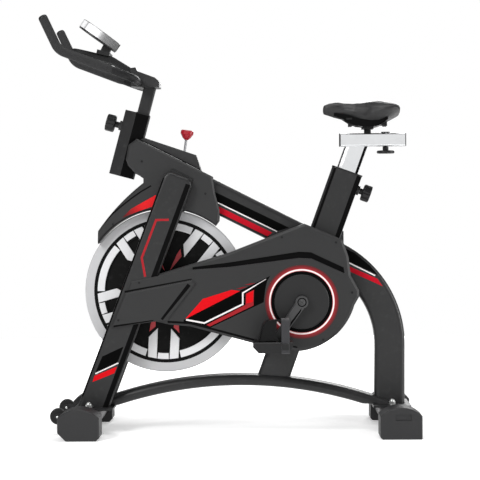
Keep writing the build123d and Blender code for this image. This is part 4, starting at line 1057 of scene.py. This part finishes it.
@dataclass
class CrankCover:
    """Printed films and painted shade bands on the drive cover, the halo round its disc, and the trim of the crank hubs
    with a painted shadow beside each arm.
    """

    face: float = -84.0 * MM
    halo_inner: float = 87.6 * MM
    halo_outer: float = 105.0 * MM
    groove_inner: float = 78.3 * MM
    lobe: float = -6.0 * MM
    channel_depth: float = 3.5 * MM
    arm_face: float = 107.0 * MM
    arm_lean: float = math.radians(34.7)

    def _hub(self) -> None:
        """The bolt cap and dark ring on each crank arm's hub, and a painted shadow of the arm on the disc along its
        rear edge.
        """
        for sign, side in ((-1.0, "left"), (1.0, "right")):
            centre = np.array([CRANK_CENTRE[0], sign * self.arm_face, CRANK_CENTRE[1]])
            out = np.array([0.0, sign, 0.0])
            ring = turned(np.array([(0.2, -0.5), (13.0, -0.5), (13.0, 0.5), (12.4, 0.9), (0.2, 0.9)]) * MM, centre, out)
            cap = turned(np.array([(0.2, -0.5), (7.0, -0.5), (7.0, 1.6), (6.0, 2.6), (3.2, 2.6), (2.8, 1.4),
                                   (0.2, 1.4)]) * MM, centre, out)
            ring.piece(f"crank_hub_ring_{side}", Finish.SHADOW, "crank", "machined_steel")
            cap.piece(f"crank_bolt_cap_{side}", Finish.CRANK, "crank", "machined_steel")
            # painted shadow: a dark wedge beside the arm's rear edge, where the arm's shadow falls on the disc
            down = np.array([-math.sin(self.arm_lean), -math.cos(self.arm_lean)]) * -sign
            across = np.array([math.cos(self.arm_lean), -math.sin(self.arm_lean)]) * -sign
            flat = [tuple(np.array(CRANK_CENTRE) + (down * s + across * t) * MM)
                    for s, t in ((14.0, 8.2), (22.0, 11.6), (78.0, 10.6), (64.0, 5.6))]
            slot = plate(flat, sign * (self.arm_face - 0.4 * MM), sign * (self.arm_face + 0.3 * MM), 0.1 * MM)
            slot.piece(f"crank_arm_painted_shadow_{side}", Finish.SHADOW, "crank", "machined_steel")

    def make(self) -> None:
        """Builds the printed films and the painted shade bands, back to front, and the halo."""
        films = (
            ("cover_black_film", Finish.BLACK, [(-136, 323), (28, 406.5), (66, 425), (112, 447), (103, 432),
                                                (97.5, 408), (93, 372), (69, 361), (-61, 300), (-72, 303),
                                                (-136, 313.5)], 0.0, 0.2),
            ("cover_red_film", Finish.RED, [(-132, 325), (-80.7, 382.7), (1.5, 408), (26, 404.5)], 0.0, 0.35),
            ("cover_low_red_film", Finish.DEEP_RED, [(-71, 308.5), (-61, 304), (64, 363), (65.5, 408), (42, 396.5),
                                                     (41, 365)], 0.0, 0.35),
            ("cover_bright_red_film", Finish.RED, [(43, 368.5), (62, 373), (63.5, 405), (44, 395.5)], 0.0, 0.5),
            ("cover_red_streak_0", Finish.DARK_RED, [(13.5, 410.4), (33.5, 416), (46.5, 416.5), (27.5, 410.3)],
             0.0, 0.35),
            ("cover_red_streak_1", Finish.DARK_RED, [(37.6, 422), (55.6, 426), (70.6, 427), (53.6, 421.8)], 0.0, 0.35),
            # painted shade: dark bands in the channel and along the cover's bevels, where shade falls
            ("cover_channel_painted_shade", Finish.SHADOW, [(-109, 473), (-3, 486), (194, 515), (229, 513), (321, 469.5), (324, 453),
                                              (230, 496), (194, 498), (-3, 474), (-109, 467)], self.channel_depth, 0.3),
            ("arm_upper_painted_shade", Finish.SHADOW, stripe([(-304, 404.5), (-112, 439.5)], 5.0, 0.6), 0.0, 0.25),
            ("arm_rear_painted_shade", Finish.SHADOW, stripe([(-119, 424.0), (-198.5, 325)], 11.0, 0.6), self.lobe, 0.25),
            ("arm_lower_painted_shade", Finish.SHADOW, stripe([(-336, 306.5), (-222, 322.5)], 5.0, 0.6), self.lobe, 0.25),
            ("cover_lower_painted_shade", Finish.SHADOW, stripe([(-182, 318), (-118, 314), (64, 264.5), (188, 242.5)], 6.0, 0.6),
             0.0, 0.25),
            ("cover_white_line", Finish.WHITE, stripe([(-129, 323.5), (-77, 313.7), (33.2, 366.8), (33.4, 398.8),
                                                       (100, 438)], 4.6, 0.25), 0.0, 0.6),
        )
        for name, finish, outline, behind, lift in films:
            Film(name, finish, outline, self.face + behind, lift=lift * MM).make()
        for name, finish, inner, outer, lift, bevel in (
                ("crank_halo_ring", Finish.HALO, self.halo_inner, self.halo_outer, 0.5, 0.15),
                ("crank_groove_ring", Finish.BLACK, self.groove_inner, self.halo_inner, 0.3, 0.1)):
            arc_plate(CRANK_CENTRE, inner, outer, 0.0, 360.0, self.face, self.face - lift * MM, bevel * MM,
                      160).piece(name, finish, "frame", "black_plastic")
        self._hub()


@dataclass
class FrameStripes:
    """Printed bands on the frame and the fender, painted shade strips along their edges and facets, and painted
    highlight and painted reflection strips on the chrome post.

    A line is the middle of a leaning tube's upper end, in millimetres, and the tube's lean from upright.
    """

    beam_face: float = -22.0 * MM
    blade_face: float = -80.0 * MM
    cowl_face: float = -49.0 * MM
    seat_face: float = -24.0 * MM
    post_face: float = -16.0 * MM
    blade_line: tuple[Point2, float] = ((-144.3, 736.0), math.radians(20.9))
    seat_line: tuple[Point2, float] = ((336.8, 743.2), math.radians(20.1))
    post_line: tuple[Point2, float] = ((363.5, 816.2), math.radians(20.1))
    head_line: tuple[Point2, float] = ((-267.0, 918.7), math.radians(15.2))

    def make(self) -> None:
        """Builds each printed band, each painted shade strip and each painted reflection strip, with its twin on the
        far side.
        """
        seat, post, blade = self.seat_line, self.post_line, self.blade_line
        bands = [
            ("beam_black_band", Finish.BLACK, [(-50, 690.5), (168, 583), (133, 573.6), (-50, 665.5)], self.beam_face),
            ("beam_white_line", Finish.WHITE, stripe([(-50, 663), (133.4, 572.6)], 3.6), self.beam_face),
            ("beam_red_band", Finish.BAND_RED, [(-50, 653.5), (119.7, 569.1), (105.2, 558.8), (-50, 636)],
             self.beam_face),
            ("leg_black_band", Finish.BLACK, [(330, 522), (358, 508), (400.7, 471.7), (422.8, 444.6),
                                              (330, 489)], self.beam_face),
            ("leg_white_line", Finish.WHITE, stripe([(330, 485.5), (415.6, 442.9)], 3.6), self.beam_face),
            ("leg_red_band", Finish.BAND_RED, [(330, 475), (422, 433.9), (437, 412), (330, 461)], self.beam_face),
            ("blade_black_band", Finish.BLACK, [(-370, 219.7), (-309, 247.5), (-326, 203), (-391, 172)],
             self.blade_face),
            ("blade_white_line", Finish.WHITE, stripe([(-390.5, 170.4), (-324, 200.8)], 3.6), self.blade_face),
            ("blade_red_band", Finish.RED, [(-393, 164.5), (-328, 190.5), (-336, 171.5), (-399, 146.5)],
             self.blade_face),
            ("blade_bracket_line", Finish.DEEP_RED,
             stripe([(-176, 609.3), (-212.3, 608.9), (-254.4, 501.1), (-245.2, 447)], 6.5), self.blade_face),
            ("fender_red_film", Finish.FENDER_RED,
             [(-214, 681), (-216, 671), (-222, 648), (-263, 634.7), (-312, 615.5), (-286, 641)], self.cowl_face),
        ]
        for name, finish, outline, face in bands:
            Film(name, finish, outline, face, both_sides=True).make()
        # painted shade: dark strips along the rounded edges of the fork blades and the seat tube, and in the fender's
        # crease
        strips = (
            ("blade_rear_painted_shade", self._beside(*blade, 25.0, 39.0, 16.0, 698.0), self.blade_face, 0.2),
            ("blade_front_painted_shade", self._beside(*blade, -42.0, -38.5, 22.0, 690.0), self.blade_face, 0.2),
            ("seat_tube_front_painted_shade", self._beside(*seat, -40.0, -33.0, 1.0, 230.0), self.seat_face, 0.3),
            ("seat_tube_rear_painted_shade", self._beside(*seat, 30.0, 43.5, 1.0, 230.0), self.seat_face, 0.3),
            ("fender_painted_shade_line", stripe([(-228, 707), (-257, 690.5), (-286, 670.4), (-314, 648.8), (-343, 624.5),
                                         (-361, 604)], 4.0, 0.5), self.cowl_face, 0.3),
        )
        for name, outline, face, lift in strips:
            Film(name, Finish.SHADOW, outline, face, lift=lift * MM, both_sides=True).make()
        self._head_painted_shade()
        # painted reflection on the chrome post: a dark line, a bright painted highlight and a dark strip
        for name, finish, low, high in (("post_painted_reflection_dark_line", Finish.SHADOW, -30.0, -27.6),
                                        ("post_painted_highlight", Finish.CHROME_PAINTED_HIGHLIGHT, -27.4, -19.0),
                                        ("post_painted_reflection_dark_strip", Finish.SHADOW, 22.5, 30.0)):
            Film(name, finish, self._beside(*post, low, high, 0.6, 210.0, 1.0), self.post_face, "seat_post",
                 0.2 * MM, True).make()

    def _head_painted_shade(self) -> None:
        """The head tube's rear facet in painted shade: a thin dark slab whose depth falls off in line with the facet.
        """
        corners = np.array(self._beside(*self.head_line, -1.5, 34.5, 1.5, 188.5))
        depth = -np.array([34.0 - (across + 3.0) * 11.0 / 39.0 for across in (-1.5, 34.5, 34.5, -1.5)])
        inner = np.stack([corners[:, 0], depth + 0.4, corners[:, 1]], axis=1) * MM
        outer = inner - np.array([0.0, 0.75 * MM, 0.0])
        slab = lofted(np.stack([inner, outer]))
        slab.doubled().piece("head_tube_painted_shade_facet", Finish.SHADOW, "frame", "frame_paint")

    @staticmethod
    def _beside(top: Point2, tilt: float, near: float, far: float, start: float, stop: float,
                level: float = 0.0) -> list[Point2]:
        """A strip along a leaning tube: top + down * s + across * t for its four corners.

        Args:
            top: middle of the tube's upper end, (x, z) in millimetres.
            tilt: the tube's lean from upright.
            near: first distance across from the middle line.
            far: second distance across.
            start: first distance down the tube.
            stop: second distance down.
            level: 1 makes the strip's upper end level, 0 leaves it square to the tube.

        Returns:
            The four corners.
        """
        down = np.array([-math.sin(tilt), -math.cos(tilt)])
        across = np.array([math.cos(tilt), -math.sin(tilt)])
        rise = level * math.tan(tilt)
        corners = ((start - near * rise, near), (start - far * rise, far), (stop, far), (stop, near))
        return [tuple(np.array(top) + down * s + across * t) for s, t in corners]


@dataclass
class Grips:
    """Foam sleeves on the two arms of the outer bar, and their end plugs."""

    reach: float = 205.0 * MM
    radius: float = 13.0 * MM
    dome: float = 4.0 * MM
    tip: Point2 = (-515.4 * MM, 1177.0 * MM)
    corner: Point2 = (-471.6 * MM, 1083.5 * MM)
    end: Point2 = (-322.0 * MM, 1026.3 * MM)

    def make(self) -> None:
        """Builds both sleeves along the bar's bend."""
        for sign, side in ((-1.0, "left"), (1.0, "right")):
            y = sign * self.reach
            lean = np.array(self.tip) - np.array(self.corner)
            start = np.array(self.tip) - lean / np.linalg.norm(lean) * self.dome
            path = bend([(start[0], y, start[1]), (self.corner[0], y, self.corner[1]),
                         (self.end[0], y, self.end[1])], [45.0 * MM], 14, 6.0 * MM)
            along = np.linspace(0.0, 1.0, len(path))
            scales = 1.0 - 0.16 * np.clip(1.0 - (1.0 - along) * len(path) / 2.2, 0.0, 1.0)
            scales = scales - 0.015 * np.clip(1.0 - along * len(path) / 1.5, 0.0, 1.0)
            sleeve = swept(path, circle(self.radius, 40), (0.0, 1.0, 0.0), scales)
            grip = sleeve.piece(f"foam_grip_{side}", Finish.FOAM, "handlebar", "foam", 50.0)
            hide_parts("grips")
            outward = path[0] - path[1]
            outward /= np.linalg.norm(outward)
            arc = np.radians(np.linspace(0.0, 88.0, 12))
            profile = np.vstack([[[0.2 * MM, -0.5 * MM], [self.radius - 1.2 * MM, -0.5 * MM]],
                                 np.stack([(self.radius - 0.2 * MM) * np.cos(arc) ** 0.8,
                                           (self.dome + 3.4 * MM) * np.sin(arc)], axis=1)])
            plug = turned(profile, path[0], outward, 40)
            plug.piece(f"bar_plug_{side}", Finish.KNOB, "handlebar", "black_plastic", 40.0)


@dataclass
class Saddle:
    """The stuffed saddle: nose, waist and wings, with a centre channel and a moulded lip.

    A station is a cross-section's x, half width, lowest and highest z, in millimetres. The middle line lies a
    share called crown below the top, and the underside is drawn in by the share called tuck.
    """

    stations: tuple[tuple[float, float, float, float], ...] = (
        (267, 10, 911, 932.5), (272, 14, 908.5, 937), (284, 19, 907.5, 941), (303, 23, 904, 942),
        (330, 27.5, 897, 937.2), (356, 38, 886, 935.5), (385, 56, 875, 938), (405, 70, 871.5, 941),
        (425, 80, 873, 943.2), (445, 85, 884, 943.5), (465, 84, 894, 942.5), (480, 76, 901, 939.5),
        (489, 62, 906, 933))
    around: int = 48
    along: int = 61
    crown: float = 0.42
    tuck: float = 0.30
    channel: Point2 = (2.2 * MM, 9.0 * MM)

    def _rings(self) -> Array:
        """Cross-sections: a superellipse whose lower half is pulled in under the wings.

        Width times cos(t) to the power 0.75 with its sign, and height about the middle line times sin(t) to
        the power 0.85; the top dips slightly in the middle as a channel.

        Returns:
            (stations, around, 3) points.
        """
        coarse = np.array(self.stations) * MM
        fine = np.linspace(0.0, len(coarse) - 1.0, self.along)
        index = np.arange(len(coarse))
        x, half, low, high = (np.interp(fine, index, coarse[:, column]) for column in range(4))
        turn = np.linspace(0.0, 2 * math.pi, self.around, endpoint=False)
        cos, sin = np.cos(turn), np.sin(turn)
        across = np.sign(cos) * np.abs(cos) ** 0.75
        rise = np.sign(sin) * np.abs(sin) ** 0.85
        top = (sin > 0)[None, :]
        level = high - (high - low) * self.crown
        up = (high - level)[:, None]
        down = (level - low)[:, None]
        z = level[:, None] + np.where(top, up, down) * rise[None, :]
        y = half[:, None] * across[None, :] * np.where(top, 1.0, 1.0 - self.tuck * np.abs(rise[None, :]))
        deep, wide = self.channel
        channel = deep * np.exp(-(y / wide) ** 2) * np.clip(rise, 0.0, 1.0)[None, :]
        z = z - channel * np.clip((x[:, None] - 0.29) / 0.05, 0.0, 1.0)
        return np.stack([np.broadcast_to(x[:, None], y.shape), y, z], axis=-1)

    def make(self) -> None:
        """Builds the pad, inflates it and adds the lip under it."""
        pad = lofted(self._rings()).piece("saddle_cushion", Finish.SADDLE, "saddle", "saddle_cover", 80.0)
        stuff(pad, 5.0 * MM, 3.0, 5.0 * MM)
        refine = pad.modifiers.new("refine", "SUBSURF")
        refine.levels = refine.render_levels = 1
        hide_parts("saddle_pad")
        self._skirt()

    def _skirt(self) -> None:
        """The moulded lip under the cushion: a thin wall on each side, its four corners carried along x."""
        x, y, low, high = np.array([(300, 14, 904, 912), (318, 18, 898, 910), (344, 27, 882, 904),
                                    (364, 35, 874.5, 898), (385, 45, 872.5, 892), (405, 53, 871.8, 889),
                                    (424, 57, 874, 891), (440, 59, 883, 897), (452, 59, 892, 901)]).T * MM
        fine = np.linspace(0.0, len(x) - 1.0, 49)
        x, y, low, high = (np.interp(fine, np.arange(len(x)), column) for column in (x, y, low, high))
        wall = 1.3 * MM
        rings = np.stack([np.stack([x, y - wall, low], axis=1), np.stack([x, y + wall, low], axis=1),
                          np.stack([x, y + wall, high], axis=1), np.stack([x, y - wall, high], axis=1)], axis=1)
        side = lofted(rings)
        side.doubled().piece("saddle_skirt", Finish.SHADOW, "saddle", "black_plastic", 40.0)


def stuff(obj: bpy.types.Object, voxel: float, pressure: float, cap: float) -> None:
    """Inflates a closed form as a stuffed cover and keeps the result.

    The form is remeshed evenly, blown up as cloth for 20 steps, and each point's movement is capped.

    Args:
        obj: the piece.
        voxel: remesh size in metres.
        pressure: the cloth's pressure.
        cap: furthest a point may move, in metres.
    """
    scene = bpy.context.scene
    even = obj.modifiers.new("even", "REMESH")
    even.mode, even.voxel_size, even.use_smooth_shade = "VOXEL", voxel, True
    apply_modifiers(obj)
    count = len(obj.data.vertices)
    before = np.empty(count * 3)
    obj.data.vertices.foreach_get("co", before)
    cloth = obj.modifiers.new("cloth", "CLOTH")
    cloth.settings.use_pressure = True
    cloth.settings.uniform_pressure_force = pressure
    cloth.settings.effector_weights.gravity = 0.0
    cloth.point_cache.frame_start, cloth.point_cache.frame_end = 1, 20
    for step in range(1, 21):
        scene.frame_set(step)
    apply_modifiers(obj)
    after = np.empty(count * 3)
    obj.data.vertices.foreach_get("co", after)
    move = (after - before).reshape(-1, 3)
    length = np.linalg.norm(move, axis=1, keepdims=True)
    move *= np.minimum(1.0, cap / np.maximum(length, 1e-9))
    obj.data.vertices.foreach_set("co", before + move.ravel())
    obj.data.polygons.foreach_set("use_smooth", np.ones(len(obj.data.polygons), dtype=bool))
    obj.data.update()
    scene.frame_set(1)


def apply_modifiers(obj: bpy.types.Object) -> None:
    """Bakes an object's modifiers into its mesh.

    Args:
        obj: the object.
    """
    graph = bpy.context.evaluated_depsgraph_get()
    baked = bpy.data.meshes.new_from_object(obj.evaluated_get(graph), depsgraph=graph)
    old = obj.data
    obj.modifiers.clear()
    obj.data = baked
    baked.name = obj.name
    bpy.data.meshes.remove(old)


@dataclass
class ToeClips:
    """Ribbed toe cages and woven straps with buckles, on both pedals."""

    rise: float = 60.0 * MM
    half_height: float = 15.3 * MM
    width: float = 60.0 * MM
    strap_place: float = 35.0 * MM
    strap_size: Point2 = (23.0 * MM, 1.7 * MM)

    def make(self) -> None:
        """Builds both sides from their pedals' places."""
        for side in ("left", "right"):
            low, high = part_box(f"pedal_{side}")
            middle = (low + high) / 2
            self._cage(side, middle)
            self._strap(side, middle, abs(high.y - low.y) / 2)

    def _cage(self, side: str, middle: Vector) -> None:
        """The moulded cage: a band that springs from the pedal's nose and levels out over the shoe."""
        top = middle.z + self.half_height
        path = bend([(middle.x - 53 * MM, middle.y, top + 1.7 * MM), (middle.x - 39.5 * MM, middle.y, top + 1.7 * MM),
                     (middle.x - 25 * MM, middle.y, top + self.rise - 1.8 * MM),
                     (middle.x + 41.5 * MM, middle.y, top + self.rise - 1.8 * MM)],
                    [3.5 * MM, 22.0 * MM], 12, 4.0 * MM)
        band = swept(path, rounded_box(self.width, 2.6 * MM, 1.2 * MM, 4), (0.0, 1.0, 0.0))
        for offset in (-20.0, 0.0, 20.0):
            raised = path[8:] + np.array([0.0, offset * MM, 0.0])
            band = band + swept(raised, rounded_box(5.0 * MM, 3.6 * MM, 1.0 * MM, 3), (0.0, 1.0, 0.0))
        cheek = [(middle.x + x * MM, top + z * MM) for x, z in
                 ((-36.5, 2.0), (-33.0, 18.0), (-27.0, 45.0), (-19.0, 56.0), (-8.0, 58.5), (12.0, 58.5), (8.0, 30.0),
                  (14.0, 2.0))]
        for offset in (-1.0, 1.0):
            edge = middle.y + offset * (self.width / 2 - 0.6 * MM)
            band = band + plate(cheek, edge - offset * 2.4 * MM, edge, 0.6 * MM)
        cage = band.piece(f"toe_cage_{side}", Finish.CAGE, f"pedal_{side}", "black_plastic", 40.0)
        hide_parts(f"toe_clip_{side}")

    def _strap(self, side: str, middle: Vector, half: float) -> None:
        """A closed loop of webbing round the pedal and the cage, and its cam buckle."""
        low = middle.z - self.half_height - 1.0 * MM
        high = middle.z + self.half_height + self.rise + 1.0 * MM
        loop = rounded_box(2 * half + 2.4 * MM, high - low, 5.0 * MM, 6)
        x = middle.x + self.strap_place
        path = np.stack([np.full(len(loop), x), middle.y + loop[:, 0], (low + high) / 2 + loop[:, 1]], axis=1)
        profile = rounded_box(*self.strap_size, 0.6 * MM, 3)
        strap = swept(path, profile, (1.0, 0.0, 0.0), closed=True)
        strap.piece(f"toe_strap_{side}", Finish.WEBBING, f"pedal_{side}", "black_plastic", 50.0)
        sign = -1.0 if side == "left" else 1.0
        face = middle.y + sign * (half + 1.9 * MM)
        outline = [(x + u * MM, middle.z + v * MM) for u, v in ((-10, -6), (10, -6), (10, 12), (-10, 12))]
        buckle = plate(outline, face, face + sign * 3.2 * MM, 1.0 * MM)
        buckle.piece(f"strap_buckle_{side}", Finish.KNOB, f"pedal_{side}", "black_plastic")


@dataclass
class WheelBolts:
    """Small bright bolt heads in the middle of the transport wheels' dark axles."""

    centre: Point2 = (-494.0 * MM, 53.0 * MM)
    track: float = 110.0 * MM

    def make(self) -> None:
        """Builds a domed head on both ends of each axle."""
        low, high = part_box("wheel_axles")
        reach = high.y - self.track
        profile = np.array([(0.2, -0.3), (3.6, -0.3), (3.6, 0.8), (2.6, 1.6), (0.2, 2.0)]) * MM
        for side in (-1.0, 1.0):
            for end in (-1.0, 1.0):
                place = np.array([self.centre[0], side * self.track + end * reach, self.centre[1]])
                head = turned(profile, place, np.array([0.0, end, 0.0]), 20)
                name = f"wheel_bolt_{'left' if side < 0 else 'right'}_{'near' if end < 0 else 'far'}"
                head.piece(name, Finish.ZINC, "frame", "machined_steel")


@dataclass
class Console:
    """A display window, its digits and a ring of dial marks on the round console."""

    marks: int = 24
    mark_radius: float = 53.0 * MM
    face_height: float = 11.0 * MM
    window_up: float = 14.0 * MM

    def _place(self, flat: Array, height: float) -> Array:
        """Points of the dial's plane, (right, up) as a rider sees them, at a height over the face."""
        rear = np.array([math.cos(DIAL_TILT), 0.0, -math.sin(DIAL_TILT)])
        out = np.array([math.sin(DIAL_TILT), 0.0, math.cos(DIAL_TILT)])
        centre = np.array([DIAL_CENTRE[0], 0.0, DIAL_CENTRE[1]]) + out * self.face_height
        return centre + out * height + flat[:, :1] * np.array([0.0, -1.0, 0.0]) - flat[:, 1:] * rear

    def _tile(self, outline: Array, height: float) -> Draft:
        """A thin tile on the face."""
        rings = np.stack([self._place(outline, -0.3 * MM), self._place(outline, height),
                          self._place(inset(outline, 0.15 * MM), height + 0.15 * MM)])
        return lofted(rings)

    def make(self) -> None:
        """Builds the window and the marks."""
        window = rounded_box(62 * MM, 30 * MM, 4 * MM) + np.array([0.0, self.window_up])
        self._tile(window, 0.3 * MM).piece("console_window", Finish.LCD, "handlebar", "screen")
        marks: list[Draft] = []
        for turn in np.linspace(0.0, 2 * math.pi, self.marks, endpoint=False):
            along = np.array([math.cos(turn), math.sin(turn)])
            across = np.array([-along[1], along[0]])
            middle = self.mark_radius * along
            if middle[1] < -30.0 * MM and abs(middle[0]) < 14.0 * MM:  # the button sits here
                continue
            corners = np.array([middle + along * a + across * b for a, b in
                                mm([(-2.5, -0.6), (2.5, -0.6), (2.5, 0.6), (-2.5, 0.6)])])
            marks.append(self._tile(corners, 0.15 * MM))
        joined(marks).piece("console_marks", Finish.WHITE, "handlebar", "screen")
        self._digits()

    def _digits(self) -> None:
        """Seven-segment zeros and a colon, as a stopped timer shows them."""
        drafts: list[Draft] = []
        for column in (-20.0, -8.0, 8.0, 20.0):
            for u, v, wide, tall in ((0, 7, 5, 1.4), (0, -7, 5, 1.4), (-3.4, 3.5, 1.4, 5.2), (3.4, 3.5, 1.4, 5.2),
                                     (-3.4, -3.5, 1.4, 5.2), (3.4, -3.5, 1.4, 5.2)):
                bar = rounded_box(wide * MM, tall * MM, 0.5 * MM, 2)
                drafts.append(self._tile(bar + np.array([(column + u) * MM, self.window_up + v * MM]), 0.5 * MM))
        for v in (-3.0, 3.0):
            dot = rounded_box(1.8 * MM, 1.8 * MM, 0.6 * MM, 2)
            drafts.append(self._tile(dot + np.array([0.0, self.window_up + v * MM]), 0.5 * MM))
        joined(drafts).piece("console_digits", Finish.BLACK, "handlebar", "screen")


@dataclass
class Studio:
    """The floor, the lights and the camera."""

    eye: Point3 = (0.0835, -4.8, 0.653)
    lens: float = 124.1
    sky_light: float = 0.20
    floor_radius: float = 3.4
    down: float = 1.25
    left: float = 0.69
    roll: float = 0.45

    def make(self) -> None:
        """Builds the floor, the sky, the lights and the camera."""
        self._floor()
        self._sky()
        for light in (("key_softbox", (-2.3, -3.1, 2.7), (0.0, 0.0, 0.5), (1.5, 1.5), 112.0),
                      ("front_card", (0.2, -5.4, 1.1), (0.0, 0.0, 0.7), (4.4, 2.6), 27.0),
                      ("rim_softbox", (3.0, -0.6, 1.0), (0.3, 0.0, 0.5), (0.5, 1.8), 46.0),
                      ("top_softbox", (0.0, -0.3, 3.2), (0.0, 0.0, 0.4), (2.4, 0.9), 34.0),
                      ("back_softbox", (0.8, 3.6, 2.2), (0.0, 0.0, 0.5), (1.8, 1.8), 80.0)):
            self._light(*light)
        self._camera()

    def _floor(self) -> None:
        """A round flat floor, wide enough that its bright edge melts into the surround."""
        mesh = bpy.data.meshes.new("studio_floor")
        edge = circle(self.floor_radius, 96)
        mesh.from_pydata([(float(x), float(y), 0.0) for x, y in edge], [], [list(range(len(edge)))])
        floor = bpy.data.objects.new("studio_floor", mesh)
        mesh.materials.append(material(Finish.FLOOR))
        bpy.context.scene.collection.objects.link(floor)

    def _sky(self) -> None:
        """A plain white surround: bright to the eye, and softer as a source of light."""
        world = bpy.data.worlds.new("studio_surround")
        bpy.context.scene.world = world
        world.use_nodes = True
        tree = world.node_tree
        tree.nodes.clear()
        path, mix, output = (tree.nodes.new(f"ShaderNode{kind}") for kind in ("LightPath", "MixShader", "OutputWorld"))
        tree.links.new(path.outputs["Is Camera Ray"], mix.inputs[0])
        for slot, strength in ((1, self.sky_light), (2, 1.0)):
            background = tree.nodes.new("ShaderNodeBackground")
            background.inputs[0].default_value = (1.0, 1.0, 1.0, 1.0)
            background.inputs[1].default_value = strength
            tree.links.new(background.outputs[0], mix.inputs[slot])
        tree.links.new(mix.outputs[0], output.inputs[0])
        bpy.context.scene.view_settings.view_transform = "Standard"

    def _light(self, name: str, place: Point3, target: Point3, size: Point2, power: float) -> None:
        """One rectangular soft light aimed at a point."""
        data = bpy.data.lights.new(name, "AREA")
        data.shape, data.size, data.size_y, data.energy = "RECTANGLE", size[0], size[1], power
        light = bpy.data.objects.new(name, data)
        bpy.context.scene.collection.objects.link(light)
        light.location = place
        light.visible_camera = False
        light.rotation_mode = "QUATERNION"
        light.rotation_quaternion = (Vector(target) - Vector(place)).to_track_quat("-Z", "Y")

    def _camera(self) -> None:
        """The camera: a level side view from the left, slightly turned and rolled."""
        data = bpy.data.cameras.new("camera")
        data.lens, data.sensor_width = self.lens, 36.0
        camera = bpy.data.objects.new("camera", data)
        bpy.context.scene.collection.objects.link(camera)
        bpy.context.scene.camera = camera
        left, down, roll = (math.radians(value) for value in (self.left, self.down, self.roll))
        ahead = Vector((-math.sin(left) * math.cos(down), math.cos(left) * math.cos(down), -math.sin(down)))
        right = ahead.cross(Vector((0.0, 0.0, 1.0))).normalized()
        up = right.cross(ahead)
        right, up = (right * math.cos(roll) - up * math.sin(roll), up * math.cos(roll) + right * math.sin(roll))
        turn = Matrix((right, up, -ahead)).transposed()
        camera.matrix_world = Matrix.Translation(self.eye) @ turn.to_4x4()


COATS: dict[Finish, Sequence[str]] = {
    Finish.FRAME: ("stabilizers", "frame_brackets", "head_tube", "main_beam", "seat_tube", "base_beam",
                   "fork_blade_left", "fork_blade_right", "handlebar_post", "stem_head"),
    Finish.HARDWARE: ("outer_bar", "inner_loop", "saddle_carriage", "cover_screws"),
    Finish.CRANK: ("crank_arm_left", "crank_arm_right"),
    Finish.COVER: ("cowl_left", "cowl_right", "brake_cover", "chain_cover", "chain_cover_back"),
    Finish.DISC: ("crank_disc",),
    Finish.FEET: ("front_feet", "rear_feet"),
    Finish.KNOB: ("head_knob", "seat_knob", "saddle_knob", "pedal_left", "pedal_right", "crank_pulley",
                  "slide_end_caps", "post_sleeves", "console_back", "saddle_base", "wheel_axles"),
    Finish.CHROME: ("seat_post", "seat_slide_tube"),
    Finish.ZINC: ("frame_bolts", "flywheel_axle", "head_pin", "seat_pin", "brake_spring", "bottom_bracket"),
    Finish.ROD: ("brake_rod",),
    Finish.BARE_STEEL: ("crank_axle", "flywheel_pulley"),
    Finish.WEB: ("flywheel",),
    Finish.RUBBER: ("drive_belt", "transport_wheel_left", "transport_wheel_right"),
    Finish.FELT: ("brake_pad",),
    Finish.RED_PLASTIC: ("brake_knob",),
    Finish.SILVER: ("console_button",),
    Finish.RIM_PAINTED_REFLECTION: ("console_rim",),
    Finish.GLASS: ("console_face",),
}


def main() -> None:
    """Builds and dresses everything in order."""
    logging.basicConfig(level=logging.INFO, format="%(name)s: %(message)s")
    Studio().make()
    dress(COATS)
    for assembly in (Flywheel(), CrankCover(), FrameStripes(), Grips(), Saddle(), ToeClips(), WheelBolts(),
                     Console()):
        assembly.make()


if __name__ == "__main__":
    main()
